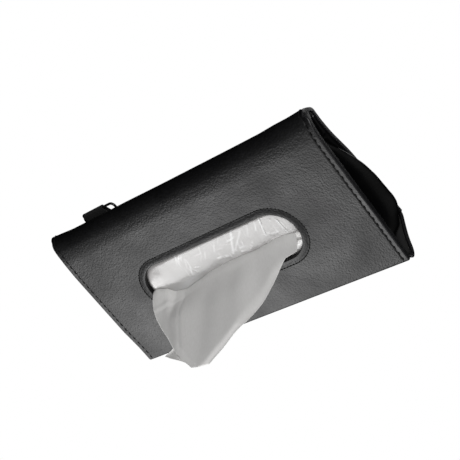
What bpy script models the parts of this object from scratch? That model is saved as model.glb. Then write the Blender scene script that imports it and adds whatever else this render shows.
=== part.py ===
# Car tissue holder: a flat leather pouch that hangs face down under a sun visor.
# One leather wrap makes the back, the rounded spine and the front with its slot. A lip on the back
# closes the open long edge with magnets, bellows gussets close the ends, and two elastic straps with
# rings hold the pouch to the visor. Inside lies a refill pack whose first tissue hangs out of the slot.
# Units are metres. Z points up to the visor, X runs along the pouch, and Y runs from the spine to
# the open edge. The origin is the middle of the face that lies against the visor.
import math

import bmesh
import bpy
from mathutils import Matrix, Vector

for old in list(bpy.data.objects):
    bpy.data.objects.remove(old, do_unlink=True)

# Driving dimensions
pouch_length = 0.230
front_flat = 0.0955          # flat part of the front, from the spine's round to the lip
spine_depth = 0.014          # front face to back face where the back's flat part starts
wedge_angle = math.radians(8.2)
closure_angle = math.radians(45)     # closing wall against the front
mount_from_spine = 0.044     # origin to the spine end of the back's flat part
plan_corner_radius = 0.003
plan_margin = 0.0002         # corner outline outside the straight edges

# Spine: a slow round out of the front, a middle round, then a tight one into the back
slow_radius = 0.040
slow_turn = math.radians(14)
middle_radius = 0.013
middle_turn = math.radians(46)

# Layers of the wrap
leather_thickness = 0.0009
board_thickness = 0.0010
lining_thickness = 0.0005
seat_gap = 0.0003            # between pieces that touch
board_inset = 0.0025         # boards stop short of the stitched ends
lining_inset = 0.0010

# Slot
slot_length = 0.131
slot_height = 0.036
slot_from_lip = 0.0501       # slot centre to the end of the front's flat part
slot_offset = -0.003         # slot centre from the pouch's middle, along X
rim_width = 0.005
rim_proud = 0.0004
rim_edge_radius = 0.0008

# Lip and closure
turned_hem = 0.006           # leather turned in behind the front's lip
hem_length = 0.0125          # closure hem that lies inside the lip
hem_end_clearance = 0.014    # hem stops short of the gussets
fold_radius = 0.005          # between the back and the closing wall
tip_inner_radius = 0.0004
magnet_length = 0.020
magnet_width = 0.007
magnet_from_end = 0.060      # magnet centre to the end of the pouch
magnet_from_lip = 0.0060

# Gussets
gusset_thickness = 0.0007
gusset_inset = 0.0010
flange_width = 0.005
spine_flange_width = 0.0015
fold_depth = 0.011
bulge_height = 0.014
gusset_mouth_setback = 0.0060
gusset_end_opening = 0.0016
# Shares of the way from the open edge to the spine, and of full depth or height
fold_run_share = 0.87        # the fold dies out here
flange_taper_share = 0.25    # flanges narrow over the last stretch
bulge_peak_share = 0.33      # the bulge is highest here
bulge_reach_share = 0.42     # and dies out this much further on
# Share of the way from the front to the back
valley_share = 0.42

# Refill pack
pack_end_clearance = 0.021   # pack to the end of the pouch
pack_into_spine = 0.006      # pack reaches past the front's flat part
pack_from_lip = 0.0155
film_thickness = 0.0004
stack_clearance = 0.0008     # between the film and the stack
slit_length = 0.122
slit_height = 0.012
slit_drop = 0.002            # slit centre below the slot centre, towards the open edge
swell_power = 7              # how square the pack's outline stays
rim_share = 0.08             # rim height of the pack over its full height

# Pulled tissue
tissue_thickness = 0.0006
hang_lean = math.radians(19.25)      # hanging direction from straight down, towards the open edge
tissue_drop = 0.065
tissue_slide_start = 0.0036          # how far inside the front face the tissue starts
pleat_depth = 0.0022
broad_pleats = 2.2                   # folds across the sheet
narrow_pleats = 4.1
pleat_drift_share = 0.4              # how far a fold wanders on its way down
pleat_growth_share = 0.4             # full depth is reached here

# Visor straps
strap_from_end = 0.0425      # ring centre to the end of the pouch
strap_width = 0.019
strap_thickness = 0.0007
strap_shift = 0.0035         # strap lies to the outer side of its ring
strap_length = 0.170
strap_anchor = 0.016         # stitched end that lies on the back
anchor_from_fold = 0.006     # strap end to the fold of the closure
arch_height = 0.016          # strap's upper face over the back
bend_radius = 0.010
anchor_slope = math.radians(50)
ring_wire = 0.0018
ring_width = 0.0318          # outside, along X
ring_reach = 0.0104          # between the two long bars' axes
ring_corner_radius = 0.0032
ring_from_spine = 0.0042     # ring's held bar to the spine end of the back's flat part
left_ring_angle = math.radians(15)   # above the back, leaning over the spine
right_ring_angle = math.radians(105)
left_approach = math.radians(50)     # strap's slope where it reaches the ring
right_approach = math.radians(15)
tab_width = 0.018
tab_length = 0.014
patch_length = 0.014
patch_width = 0.026
pad_length = 0.022
pad_width = 0.016

# Fineness of the rounds
arc_step = math.radians(9)
cut_overrun = 0.002
BEHIND = Vector((0, 0, 1))


def material(name, colour, roughness, metallic=0.0):
    """A plain finish: linear base colour, roughness and metallic value."""
    made = bpy.data.materials.new(name)
    made.use_nodes = True
    shader = made.node_tree.nodes["Principled BSDF"]
    shader.inputs["Base Color"].default_value = (*colour, 1.0)
    shader.inputs["Roughness"].default_value = roughness
    shader.inputs["Metallic"].default_value = metallic
    return made


black_leather = material("black_leather", (0.022, 0.022, 0.024), 0.45)
gusset_leather = material("gusset_leather", (0.010, 0.010, 0.011), 0.35)
grey_board = material("grey_board", (0.24, 0.23, 0.21), 0.9)
black_foam = material("black_foam", (0.03, 0.03, 0.03), 0.95)
lining_fabric = material("lining_fabric", (0.012, 0.012, 0.013), 0.85)
magnet_nickel = material("magnet_nickel", (0.55, 0.55, 0.54), 0.25, 1.0)
ring_metal = material("ring_black_metal", (0.015, 0.015, 0.015), 0.3, 0.6)
elastic_webbing = material("elastic_webbing", (0.012, 0.012, 0.012), 0.8)
hook_fabric = material("hook_and_loop", (0.014, 0.014, 0.014), 0.9)
clear_film = material("refill_film", (0.80, 0.81, 0.82), 0.15)
tissue_paper = material("tissue_paper", (0.80, 0.80, 0.79), 0.9)


class Path:
    """A section outline in the Y-Z plane made of straight runs and arcs.

    Each point keeps its heading, an angle from +Y towards +Z. The left of the heading is the
    inner side of a wrap, so a sheet lies between two distances to the left of the outline."""

    def __init__(self, y, z, heading):
        self.points = [(y, z, heading)]

    def run(self, length):
        y, z, heading = self.points[-1]
        self.points.append((y + length * math.cos(heading), z + length * math.sin(heading), heading))
        return self

    def arc(self, radius, turn):
        """A round to the left, or to the right where turn is negative."""
        y, z, start = self.points[-1]
        side = math.copysign(radius, turn)
        steps = max(2, math.ceil(abs(turn) / arc_step))
        for k in range(1, steps + 1):
            now = start + turn * k / steps
            self.points.append(
                (
                    y + side * (math.sin(now) - math.sin(start)),
                    z - side * (math.cos(now) - math.cos(start)),
                    now,
                )
            )
        return self

    def end(self):
        return self.points[-1]

    def length(self):
        return sum(
            math.dist(a[:2], b[:2]) for a, b in zip(self.points, self.points[1:])
        )

    def left(self, distance):
        """The points moved to the left of their headings by a distance."""
        return [
            (y - distance * math.sin(heading), z + distance * math.cos(heading))
            for y, z, heading in self.points
        ]

    def part(self, start, stop=None):
        """A path of the points from one index to another."""
        piece = Path(0, 0, 0)
        piece.points = self.points[start:stop]
        return piece

    def trimmed(self, from_start=0.0, from_end=0.0):
        """The path with a length taken off each end."""
        kept = trim_front(self.points, from_start)
        kept = trim_front(kept[::-1], from_end)[::-1]
        piece = Path(0, 0, 0)
        piece.points = kept
        return piece


def trim_front(points, length):
    left = length
    for k in range(len(points) - 1):
        a, b = points[k], points[k + 1]
        step = math.dist(a[:2], b[:2])
        if left < step:
            share = left / step
            first = tuple(p + (q - p) * share for p, q in zip(a, b))
            return [first] + list(points[k + 1 :])
        left -= step
    return list(points[-2:])


def finish(name, mesh_data, finish_material, parent=None, smooth=True):
    """Makes the named object from a bmesh."""
    bmesh.ops.recalc_face_normals(mesh_data, faces=mesh_data.faces)
    mesh = bpy.data.meshes.new(name)
    mesh_data.to_mesh(mesh)
    mesh_data.free()
    if smooth:
        mesh.shade_smooth()
        mesh.set_sharp_from_angle(angle=math.radians(30))
    mesh.materials.append(finish_material)
    made = bpy.data.objects.new(name, mesh)
    bpy.context.scene.collection.objects.link(made)
    made.parent = parent
    return made


def grid(rows, closed_across=False, closed_along=False):
    """A bmesh skin over rows of points, and its rows of vertices."""
    skin = bmesh.new()
    verts = [[skin.verts.new(p) for p in row] for row in rows]
    count, across = len(verts), len(verts[0])
    for i in range(count if closed_along else count - 1):
        for j in range(across if closed_across else across - 1):
            after, beside = (i + 1) % count, (j + 1) % across
            skin.faces.new((verts[i][j], verts[after][j], verts[after][beside], verts[i][beside]))
    return skin, verts


def shell(name, path, near, far, half_width, finish_material, centre=0.0):
    """A sheet along a path, between two distances to its left, over a width along X."""
    rows = []
    for (y0, z0), (y1, z1) in zip(path.left(near), path.left(far)):
        low, high = centre - half_width, centre + half_width
        rows.append(((low, y0, z0), (high, y0, z0), (high, y1, z1), (low, y1, z1)))
    skin, verts = grid(rows, closed_across=True)
    skin.faces.new(verts[0])
    skin.faces.new(verts[-1])
    return finish(name, skin, finish_material)


def box(name, low, high, finish_material, parent=None):
    """A block between two corners."""
    skin = bmesh.new()
    bmesh.ops.create_cube(skin, size=1.0)
    for vert in skin.verts:
        vert.co = Vector(
            (b + a) / 2 + (b - a) * c for a, b, c in zip(low, high, vert.co)
        )
    return finish(name, skin, finish_material, parent, smooth=False)


def obround(length, height, steps=24):
    """Points of a slot outline with round ends, centred on the origin."""
    radius = height / 2
    straight = (length - height) / 2
    points = []
    for side, start in ((1, -math.pi / 2), (-1, math.pi / 2)):
        for k in range(steps + 1):
            turn = start + math.pi * k / steps
            points.append((side * straight + radius * math.cos(turn), radius * math.sin(turn)))
    return points


def prism(name, outline, low, high, finish_material, parent=None):
    """An outline in X-Y carried from one Z to another."""
    skin, verts = grid(
        [[(x, y, z) for x, y in outline] for z in (low, high)], closed_across=True
    )
    skin.faces.new(verts[0])
    skin.faces.new(verts[1])
    return finish(name, skin, finish_material, parent)


def cutter(made):
    made.hide_render = True
    made.display_type = "WIRE"
    return made


def boolean(target, tool, operation="DIFFERENCE"):
    modifier = target.modifiers.new(f"{operation.lower()}_{tool.name}", "BOOLEAN")
    modifier.operation = operation
    modifier.solver = "EXACT"
    modifier.object = tool
    return target


# Section of the wrap
wrap_thickness = leather_thickness + board_thickness + lining_thickness + 2 * seat_gap
board_near = leather_thickness + seat_gap
board_far = board_near + board_thickness
lining_near = board_far + seat_gap
lining_far = lining_near + lining_thickness
spine_turn = math.pi - wedge_angle
tight_turn = spine_turn - slow_turn - middle_turn
tight_radius = (
    spine_depth
    - slow_radius * (1 - math.cos(slow_turn))
    - middle_radius * (math.cos(slow_turn) - math.cos(slow_turn + middle_turn))
) / (math.cos(slow_turn + middle_turn) + math.cos(wedge_angle))
lip_radius = (lining_near + leather_thickness) / 2

spine_start = (-mount_from_spine, 0.0, math.pi)
spine_path = Path(*spine_start).arc(tight_radius, tight_turn)
spine_path.arc(middle_radius, middle_turn).arc(slow_radius, slow_turn)
front_start = len(spine_path.points) - 1
front_path = Path(*spine_path.end()).run(front_flat)
lip_y, lip_z, front_heading = front_path.end()
along_front = Vector((0, math.cos(front_heading), math.sin(front_heading)))
into_pouch = Vector((0, -math.sin(front_heading), math.cos(front_heading)))
lip_point = Vector((0, lip_y, lip_z))

# Closure: hem inside the lip, round tip, closing wall, fold into the back
hem_face = 2 * lip_radius + seat_gap
tip_radius = wrap_thickness + tip_inner_radius
tip_centre = lip_point + along_front * (lip_radius - tip_radius) + into_pouch * (hem_face + tip_radius)
wall_heading = front_heading + math.pi - closure_angle
fold_turn = closure_angle + wedge_angle
wall_out = Vector((0, math.sin(wall_heading), -math.cos(wall_heading)))
wall_start = tip_centre + wall_out * tip_radius
wall_top_z = -fold_radius + fold_radius * wall_out.z
wall_length = (wall_top_z - wall_start.z) / math.sin(wall_heading)
hem_start = tip_centre - into_pouch * tip_radius - along_front * hem_length
closure_path = Path(hem_start.y, hem_start.z, front_heading).run(hem_length)
hem_end_index = len(closure_path.points) - 1
closure_path.arc(tip_radius, wall_heading - front_heading)
wall_index = len(closure_path.points) - 1
closure_path.run(wall_length)
wall_end_index = len(closure_path.points) - 1
closure_path.arc(fold_radius, fold_turn)
fold_y = closure_path.end()[0]
back_end = fold_y - seat_gap
back_path = Path(back_end, 0.0, math.pi).run(back_end + mount_from_spine)
wrap_path = Path(0, 0, 0)
wrap_path.points = back_path.points[:1] + spine_path.points + [front_path.end()]
leather_path = wrap_path.part(0)
leather_path.arc(lip_radius, math.pi).run(turned_hem)

# Frame on the front: X along the pouch, Y towards the open edge, Z into the pouch
slot_centre = lip_point - along_front * slot_from_lip + Vector((slot_offset, 0, 0))
front_frame = bpy.data.objects.new("front_frame", None)
bpy.context.scene.collection.objects.link(front_frame)
front_frame.location = slot_centre
front_frame.rotation_euler = (front_heading, 0, 0)


def back_depth(y):
    """Depth of the back's outer face behind the front's, at a place on the front frame."""
    return (-slot_centre.z - y * along_front.z) / into_pouch.z


half_length = pouch_length / 2
spine_tip = min(y for y, z, heading in spine_path.points)
mouth_tip = max(y for y, z, heading in closure_path.points)
lowest = min(z for y, z, heading in leather_path.points)


def plan_outline(inset=0.0):
    """The pouch seen from above, a rectangle with round corners, clear of the straight edges."""
    radius = plan_corner_radius
    x = half_length + plan_margin - inset - radius
    low, high = spine_tip - plan_margin + inset + radius, mouth_tip + plan_margin - inset - radius
    points = []
    for cx, cy, start in ((x, high, 0), (-x, high, 1), (-x, low, 2), (x, low, 3)):
        for k in range(7):
            turn = math.pi / 2 * (start + k / 6)
            points.append((cx + radius * math.cos(turn), cy + radius * math.sin(turn)))
    return points


def plan_cutter(name, inset=0.0):
    reach = cut_overrun - lowest
    return cutter(prism(name, plan_outline(inset), -reach, cut_overrun, black_foam))


outline_tool = plan_cutter("plan_outline")
gusset_tool = plan_cutter("gusset_outline", gusset_inset)


def slot_tool(name, margin):
    outline = obround(slot_length + 2 * margin, slot_height + 2 * margin)
    return cutter(
        prism(name, outline, -cut_overrun, wrap_thickness + cut_overrun, black_foam, front_frame)
    )


slot_cut = slot_tool("slot_cut", rim_width)


def make_wrap():
    """Leather, boards, foam and lining of the back, spine and front."""
    leather = shell("outer_leather", leather_path, 0, leather_thickness, half_length, black_leather)
    boolean(leather, slot_cut)
    boolean(leather, outline_tool, "INTERSECT")
    half_board = half_length - board_inset
    front = shell("front_board", front_path, board_near, board_far, half_board, grey_board)
    boolean(front, slot_cut)
    back = back_path.trimmed(seat_gap, seat_gap)
    shell("back_board", back, board_near, board_far, half_board, grey_board)
    foam_path = spine_path.trimmed(seat_gap, seat_gap)
    foam = shell("spine_foam", foam_path, board_near, board_far, half_board, black_foam)
    boolean(foam, gusset_tool, "INTERSECT")
    lining_path = wrap_path.trimmed(0, turned_hem + seat_gap)
    lining = shell(
        "pouch_lining", lining_path, lining_near, lining_far, half_length - lining_inset, lining_fabric
    )
    boolean(lining, slot_cut)
    boolean(lining, gusset_tool, "INTERSECT")
    return front


def make_slot_rim():
    """The turned leather edge of the slot, swept round its outline."""
    inner = rim_edge_radius
    width = rim_width - seat_gap
    profile = [(width, wrap_thickness), (0.0, wrap_thickness)]
    for corner, start in ((inner, math.pi), (width - inner, 1.5 * math.pi)):
        for k in range(4):
            turn = start + math.pi / 2 * k / 3
            profile.append(
                (corner + inner * math.cos(turn), inner - rim_proud + inner * math.sin(turn))
            )
    outlines = [
        [(x, y, depth) for x, y in obround(slot_length + 2 * out, slot_height + 2 * out, 18)]
        for out, depth in profile
    ]
    rows = [list(row) for row in zip(*outlines)]
    skin, verts = grid(rows, closed_across=True, closed_along=True)
    return finish("slot_rim", skin, black_leather, front_frame)


def magnet_box(name, side, depth, clearance, finish_material):
    """A flat block one board thick, a set way in from the lip, grown by a clearance."""
    x = side * (half_length - magnet_from_end) - slot_offset
    y = slot_from_lip - magnet_from_lip
    half = (magnet_length / 2 + clearance, magnet_width / 2 + clearance)
    low = (x - half[0], y - half[1], depth - clearance)
    high = (x + half[0], y + half[1], depth + board_thickness + clearance)
    return box(name, low, high, finish_material, front_frame)


def make_closure(front_board):
    """The closing wall with its hem, and the two pairs of magnets."""
    leather = shell("closure_leather", closure_path, 0, leather_thickness, half_length, black_leather)
    boolean(leather, outline_tool, "INTERSECT")
    lining = shell(
        "closure_lining", closure_path, lining_near, lining_far, half_length - lining_inset, lining_fabric
    )
    boolean(lining, gusset_tool, "INTERSECT")
    hem_half = half_length - hem_end_clearance
    hem_tip = slot_from_lip + lip_radius - tip_radius
    for side, word in ((-1, "left"), (1, "right")):
        ends = sorted((side * hem_half - slot_offset, side * (half_length + cut_overrun) - slot_offset))
        low = (ends[0], hem_tip - hem_length - cut_overrun, hem_face - seat_gap)
        high = (ends[1], hem_tip - seat_gap, hem_face + wrap_thickness + seat_gap)
        tool = cutter(box(f"hem_end_cut_{word}", low, high, black_foam, front_frame))
        boolean(leather, tool)
        boolean(lining, tool)
    wall = closure_path.part(wall_index, wall_end_index + 1)
    shell("closure_board", wall, board_near, board_far, half_length - board_inset, grey_board)
    hem = closure_path.part(0, hem_end_index + 1).trimmed(seat_gap, 0)
    hem_board = shell("hem_board", hem, board_near, board_far, hem_half - seat_gap, grey_board)
    for side, word in ((-1, "left"), (1, "right")):
        for target, part, depth in (
            (front_board, "front", board_near),
            (hem_board, "closure", hem_face + board_near),
        ):
            magnet_box(f"{part}_magnet_{word}", side, depth, 0.0, magnet_nickel)
            pocket = cutter(magnet_box(f"{part}_pocket_{word}", side, depth, seat_gap, black_foam))
            boolean(target, pocket)


def resampled(points, count):
    """Points at even steps along a line of points."""
    lengths = [0.0]
    for a, b in zip(points, points[1:]):
        lengths.append(lengths[-1] + math.dist(a, b))
    found = []
    k = 0
    for i in range(count):
        want = lengths[-1] * i / (count - 1)
        while k < len(points) - 2 and lengths[k + 1] < want:
            k += 1
        share = (want - lengths[k]) / (lengths[k + 1] - lengths[k])
        found.append(tuple(p + (q - p) * share for p, q in zip(points[k], points[k + 1])))
    return found


def make_gusset(name, side):
    """A bellows end: flanges on the front and back, a fold that deepens away from the open edge,
    and a rear half that bulges out near it."""
    stations, across = 15, 13
    middle = gusset_thickness / 2 + seat_gap + lining_far
    line = wrap_path.left(middle)
    tight_steps = math.ceil(tight_turn / arc_step)
    apex = 1 + tight_steps * 2 // 3
    back_line = [line[k] for k in range(0, apex + 1)]
    front_line = [line[k] for k in range(len(line) - 1, apex - 1, -1)]
    mouth = wrap_path.part(len(line) - 2)
    start = mouth.trimmed(0, gusset_mouth_setback).left(middle)[-1]
    front_line[0] = start
    front_points = resampled(front_line, stations)
    back_points = resampled(back_line, stations)
    rows = []
    for i, (f, b) in enumerate(zip(front_points, back_points)):
        run = i / (stations - 1)
        opening = math.dist(f, b)
        if opening < gusset_end_opening:
            break
        narrow = min(1.0, (1 - run) / flange_taper_share)
        flange = spine_flange_width + (flange_width - spine_flange_width) * narrow
        fold = fold_depth * math.sin(math.pi * min(1.0, run / fold_run_share)) * narrow
        away = min(1.0, abs(run - bulge_peak_share) / bulge_reach_share)
        swell = bulge_height * math.cos(math.pi / 2 * away)
        row = [(0.0, 0.0)]
        for k in range(across - 2):
            share = k / (across - 3)
            rear = max(0.0, (share - valley_share) / (1 - valley_share))
            inward = fold * min(share / valley_share, 1 - rear)
            inward -= swell * math.sin(math.pi * rear**1.6)
            row.append((share, flange + inward))
        row.append((1.0, 0.0))
        rows.append(
            [
                (
                    side * (half_length - gusset_inset - inward),
                    f[0] + (b[0] - f[0]) * share,
                    f[1] + (b[1] - f[1]) * share,
                )
                for share, inward in row
            ]
        )
    skin, verts = grid(rows)
    made = finish(name, skin, gusset_leather)
    thicken = made.modifiers.new("thickness", "SOLIDIFY")
    thicken.thickness = gusset_thickness
    thicken.offset = 0
    return made


def rim_of(verts):
    """The vertices round the outside of a grid, in order."""
    right = [row[-1] for row in verts[1:-1]]
    left = [row[0] for row in verts[1:-1]]
    return verts[0] + right + verts[-1][::-1] + left[::-1]


def pillow(name, length, low_y, high_y, front, back, finish_material, columns=20, rows=13):
    """A stuffed block in the front frame. front and back give the depths of its two faces."""
    top, bottom = [], []
    for i in range(rows):
        across = -math.cos(math.pi * i / (rows - 1))
        y = (low_y + high_y) / 2 + (high_y - low_y) / 2 * across
        upper, lower = [], []
        for j in range(columns):
            along = -math.cos(math.pi * j / (columns - 1))
            full = (1 - abs(across) ** swell_power) * (1 - abs(along) ** swell_power)
            full = max(math.sqrt(max(full, 0)), rim_share)
            middle = (front(y) + back(y)) / 2
            upper.append((length / 2 * along, y, middle + (back(y) - middle) * full))
            lower.append((length / 2 * along, y, middle + (front(y) - middle) * full))
        top.append(upper)
        bottom.append(lower)
    skin, verts = grid(top)
    under = [[skin.verts.new(p) for p in row] for row in bottom]
    for i in range(rows - 1):
        for j in range(columns - 1):
            skin.faces.new((under[i][j], under[i][j + 1], under[i + 1][j + 1], under[i + 1][j]))
    over_rim, under_rim = rim_of(verts), rim_of(under)
    for k in range(len(over_rim)):
        skin.faces.new((over_rim[k - 1], over_rim[k], under_rim[k], under_rim[k - 1]))
    return finish(name, skin, finish_material, front_frame)


def make_refill():
    """The film pack with its slit, and the stack of tissues in it."""
    high = slot_from_lip - pack_from_lip
    low = slot_from_lip - front_flat - pack_into_spine
    clear = wrap_thickness + seat_gap
    wall_clear = clear / math.cos(wedge_angle)

    def layer(name, inset, finish_material):
        return pillow(
            name,
            pouch_length - 2 * (pack_end_clearance + inset),
            low + inset,
            high - inset,
            lambda y: clear + inset,
            lambda y: back_depth(y) - wall_clear - inset,
            finish_material,
        )

    film = layer("refill_film", 0.0, clear_film)
    hollow = cutter(layer("film_hollow", film_thickness, black_foam))
    boolean(film, hollow)
    slit = obround(slit_length, slit_height, 10)
    slit = [(x, y + slit_drop) for x, y in slit]
    tool = cutter(
        prism("film_slit", slit, -cut_overrun, clear + film_thickness + cut_overrun, black_foam, front_frame)
    )
    boolean(film, tool)
    layer("tissue_stack", film_thickness + stack_clearance, tissue_paper)


# Pulled tissue's outline: share of the drop, then its left and right edge as shares of the slot's
# half length. The first row lies inside the slot.
tissue_edge_shares = (
    (0.00, -0.90, 0.78),
    (0.09, -1.02, 0.87),
    (0.20, -1.01, 0.79),
    (0.35, -0.95, 0.63),
    (0.63, -0.75, 0.34),
    (0.83, -0.60, 0.06),
    (1.00, -0.46, -0.23),
)


def between(rows, at):
    """The values at a place down a table, on straight lines between its rows."""
    for a, b in zip(rows, rows[1:]):
        if at <= b[0]:
            share = (at - a[0]) / (b[0] - a[0])
            return [p + (q - p) * share for p, q in zip(a[1:], b[1:])]
    return list(rows[-1][1:])


def make_tissue():
    """The first tissue, hanging out of the slot in soft folds."""
    rows_down, across = 20, 22
    lean = hang_lean - front_heading
    hang = Vector((0, math.sin(lean), -math.cos(lean)))
    push = Vector((0, math.cos(lean), math.sin(lean)))
    rows = []
    for i in range(rows_down):
        drop = (tissue_drop + tissue_slide_start) * i / (rows_down - 1) - tissue_slide_start
        loose = max(0.0, drop) / tissue_drop
        left, right = (slot_length / 2 * share for share in between(tissue_edge_shares, loose))
        row = []
        for j in range(across):
            share = j / (across - 1)
            x = left + (right - left) * share
            wave = math.sin(2 * math.pi * (broad_pleats * share + pleat_drift_share * loose))
            wave += math.sin(2 * math.pi * (narrow_pleats * share - pleat_drift_share * loose)) / 2
            grown = min(1.0, loose / pleat_growth_share)
            place = Vector((x, slit_drop, 0)) + push * pleat_depth * wave * grown
            if drop < 0:
                place.z = -drop
            else:
                place += hang * drop
            row.append(place)
        rows.append(row)
    skin, verts = grid(rows)
    made = finish("tissue_sheet", skin, tissue_paper, front_frame)
    thicken = made.modifiers.new("thickness", "SOLIDIFY")
    thicken.thickness = tissue_thickness
    thicken.offset = 0
    return made


def ring_outline(steps=5):
    """The ring's wire line: its held bar on the X axis, its free bar at the reach."""
    half = (ring_width - ring_wire) / 2 - ring_corner_radius
    low, high = ring_corner_radius, ring_reach - ring_corner_radius
    points = []
    for cx, cy, quarter in ((half, high, 0), (-half, high, 1), (-half, low, 2), (half, low, 3)):
        for k in range(steps + 1):
            turn = math.pi / 2 * (quarter + k / steps)
            points.append(
                (cx + ring_corner_radius * math.cos(turn), cy + ring_corner_radius * math.sin(turn))
            )
    return points


def make_ring(name, frame):
    """A wire ring swept along its outline."""
    outline = ring_outline()
    rows = []
    for k, (x, y) in enumerate(outline):
        (xa, ya), (xb, yb) = outline[k - 1], outline[(k + 1) % len(outline)]
        along = Vector((xb - xa, yb - ya, 0)).normalized()
        out = Vector((along.y, -along.x, 0))
        row = []
        for side in range(8):
            turn = math.pi * 2 * (side + 0.5) / 8
            offset = out * math.cos(turn) + BEHIND * math.sin(turn)
            row.append(Vector((x, y, 0)) + offset * ring_wire / 2)
        rows.append(row)
    skin, verts = grid(rows, closed_across=True, closed_along=True)
    return finish(name, skin, ring_metal, frame)


def make_strap(word, side, ring_angle, approach):
    """One visor strap: tab, ring, strap with its anchor patch, and the free end that folds back."""
    centre = side * (half_length - strap_from_end)
    strap_x = centre + side * strap_shift
    wire = ring_wire / 2
    held_inner = wire + seat_gap
    held_z = seat_gap + leather_thickness + held_inner
    held_y = ring_from_spine - mount_from_spine
    frame = bpy.data.objects.new(f"ring_axis_{word}", None)
    bpy.context.scene.collection.objects.link(frame)
    frame.location = (centre, held_y, held_z)
    frame.rotation_euler = (math.pi - ring_angle, 0, 0)
    make_ring(f"strap_ring_{word}", frame)

    # Tab: lower layer on the back, round the held bar, upper layer on the lower one
    slope = math.radians(25)
    drop = 2 * held_inner - seat_gap
    slope_run = (drop - 2 * held_inner * (1 - math.cos(slope))) / math.sin(slope)
    tab = Path(held_y + tab_length, held_z - held_inner, math.pi).run(tab_length)
    tab.arc(held_inner, -(math.pi + slope)).run(slope_run).arc(held_inner, slope)
    tab.run(tab_length - slope_run * math.cos(slope) - held_inner * 2 * math.sin(slope))
    shell(f"ring_tab_{word}", tab, 0, leather_thickness, tab_width / 2, black_leather, centre)

    # Strap: stitched end, up into the arch, down to the ring's free bar and round it
    bar_y = held_y - ring_reach * math.cos(ring_angle)
    bar_z = held_z + ring_reach * math.sin(ring_angle)
    wrap_inner = wire + seat_gap
    wrap_y = bar_y + wrap_inner * math.sin(approach)
    wrap_z = bar_z - wrap_inner * math.cos(approach)
    low = seat_gap + strap_thickness
    rise = (arch_height - low - 2 * bend_radius * (1 - math.cos(anchor_slope))) / math.sin(anchor_slope)
    fall = (arch_height - wrap_z - bend_radius * (1 - math.cos(approach))) / math.sin(approach)
    start_y = back_end - anchor_from_fold
    rise_y = strap_anchor + 2 * bend_radius * math.sin(anchor_slope) + rise * math.cos(anchor_slope)
    fall_y = bend_radius * math.sin(approach) + fall * math.cos(approach)
    level = start_y - rise_y - fall_y - wrap_y
    strap = Path(start_y, low, math.pi).run(strap_anchor)
    strap.arc(bend_radius, -anchor_slope).run(rise).arc(bend_radius, anchor_slope)
    level_index = len(strap.points) - 1
    strap.run(level).arc(bend_radius, approach).run(fall)
    standing = strap.part(0)
    strap.arc(wrap_inner, -math.pi)
    shell(f"visor_strap_{word}", strap, 0, strap_thickness, strap_width / 2, elastic_webbing, strap_x)

    # Free end: back over the arch, held off the strap by the wire's width
    free = strap_length - strap.length()
    over = 2 * wrap_inner
    back = Path(0, 0, 0)
    back.points = [
        (y + over * math.sin(h), z - over * math.cos(h), h) for y, z, h in standing.points
    ]
    upper = back.trimmed(back.length() - free, seat_gap)
    shell(f"strap_end_{word}", upper, -strap_thickness, 0, strap_width / 2, elastic_webbing, strap_x)

    pad_thickness = (over - 3 * seat_gap) / 2
    flat = standing.part(level_index, level_index + 2)
    pads = flat.trimmed(seat_gap, max(seat_gap, level - pad_length))
    shell(
        f"strap_loop_pad_{word}", pads, -seat_gap - pad_thickness, -seat_gap, pad_width / 2, hook_fabric, strap_x
    )
    near = 2 * seat_gap + pad_thickness
    shell(
        f"strap_hook_pad_{word}", pads, -near - pad_thickness, -near, pad_width / 2, hook_fabric, strap_x
    )
    patch_low = low + seat_gap
    patch_y = start_y - strap_anchor / 2
    box(
        f"strap_patch_{word}",
        (strap_x - patch_width / 2, patch_y - patch_length / 2, patch_low),
        (strap_x + patch_width / 2, patch_y + patch_length / 2, patch_low + leather_thickness),
        black_leather,
    )


front_board = make_wrap()
make_slot_rim()
make_closure(front_board)
make_gusset("gusset_left", -1)
make_gusset("gusset_right", 1)
make_refill()
make_tissue()
make_strap("left", -1, left_ring_angle, left_approach)
make_strap("right", 1, right_ring_angle, right_approach)
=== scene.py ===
"""Car tissue holder: a black artificial leather pouch that hangs face down under a sun visor, with a
slotted front, a magnetic closing lip, bellows ends, a soft pack of tissues and two visor straps."""

import math

import bmesh
import bpy
import numpy as np
from mathutils import Matrix, Vector, noise


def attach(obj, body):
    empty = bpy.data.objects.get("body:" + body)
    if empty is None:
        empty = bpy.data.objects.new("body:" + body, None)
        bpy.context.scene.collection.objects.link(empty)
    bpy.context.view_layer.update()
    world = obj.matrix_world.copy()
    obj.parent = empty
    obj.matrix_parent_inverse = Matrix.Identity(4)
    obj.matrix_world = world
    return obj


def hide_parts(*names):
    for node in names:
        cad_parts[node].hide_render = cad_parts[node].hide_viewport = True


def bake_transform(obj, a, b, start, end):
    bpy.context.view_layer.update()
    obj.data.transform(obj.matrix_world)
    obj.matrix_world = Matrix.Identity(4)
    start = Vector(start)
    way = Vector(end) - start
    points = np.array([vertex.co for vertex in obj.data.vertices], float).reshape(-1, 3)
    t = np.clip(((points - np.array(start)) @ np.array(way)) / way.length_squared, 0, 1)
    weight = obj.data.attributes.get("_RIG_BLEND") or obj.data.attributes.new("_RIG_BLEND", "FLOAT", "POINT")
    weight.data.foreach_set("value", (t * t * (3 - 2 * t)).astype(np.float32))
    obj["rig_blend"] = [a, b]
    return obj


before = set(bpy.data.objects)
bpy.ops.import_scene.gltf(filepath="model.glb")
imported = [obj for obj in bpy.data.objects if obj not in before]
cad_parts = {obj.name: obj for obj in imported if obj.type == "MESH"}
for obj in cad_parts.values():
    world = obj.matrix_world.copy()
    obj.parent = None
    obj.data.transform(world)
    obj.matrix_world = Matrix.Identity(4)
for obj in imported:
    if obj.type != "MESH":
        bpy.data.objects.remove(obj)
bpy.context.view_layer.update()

MM = 0.001

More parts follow.
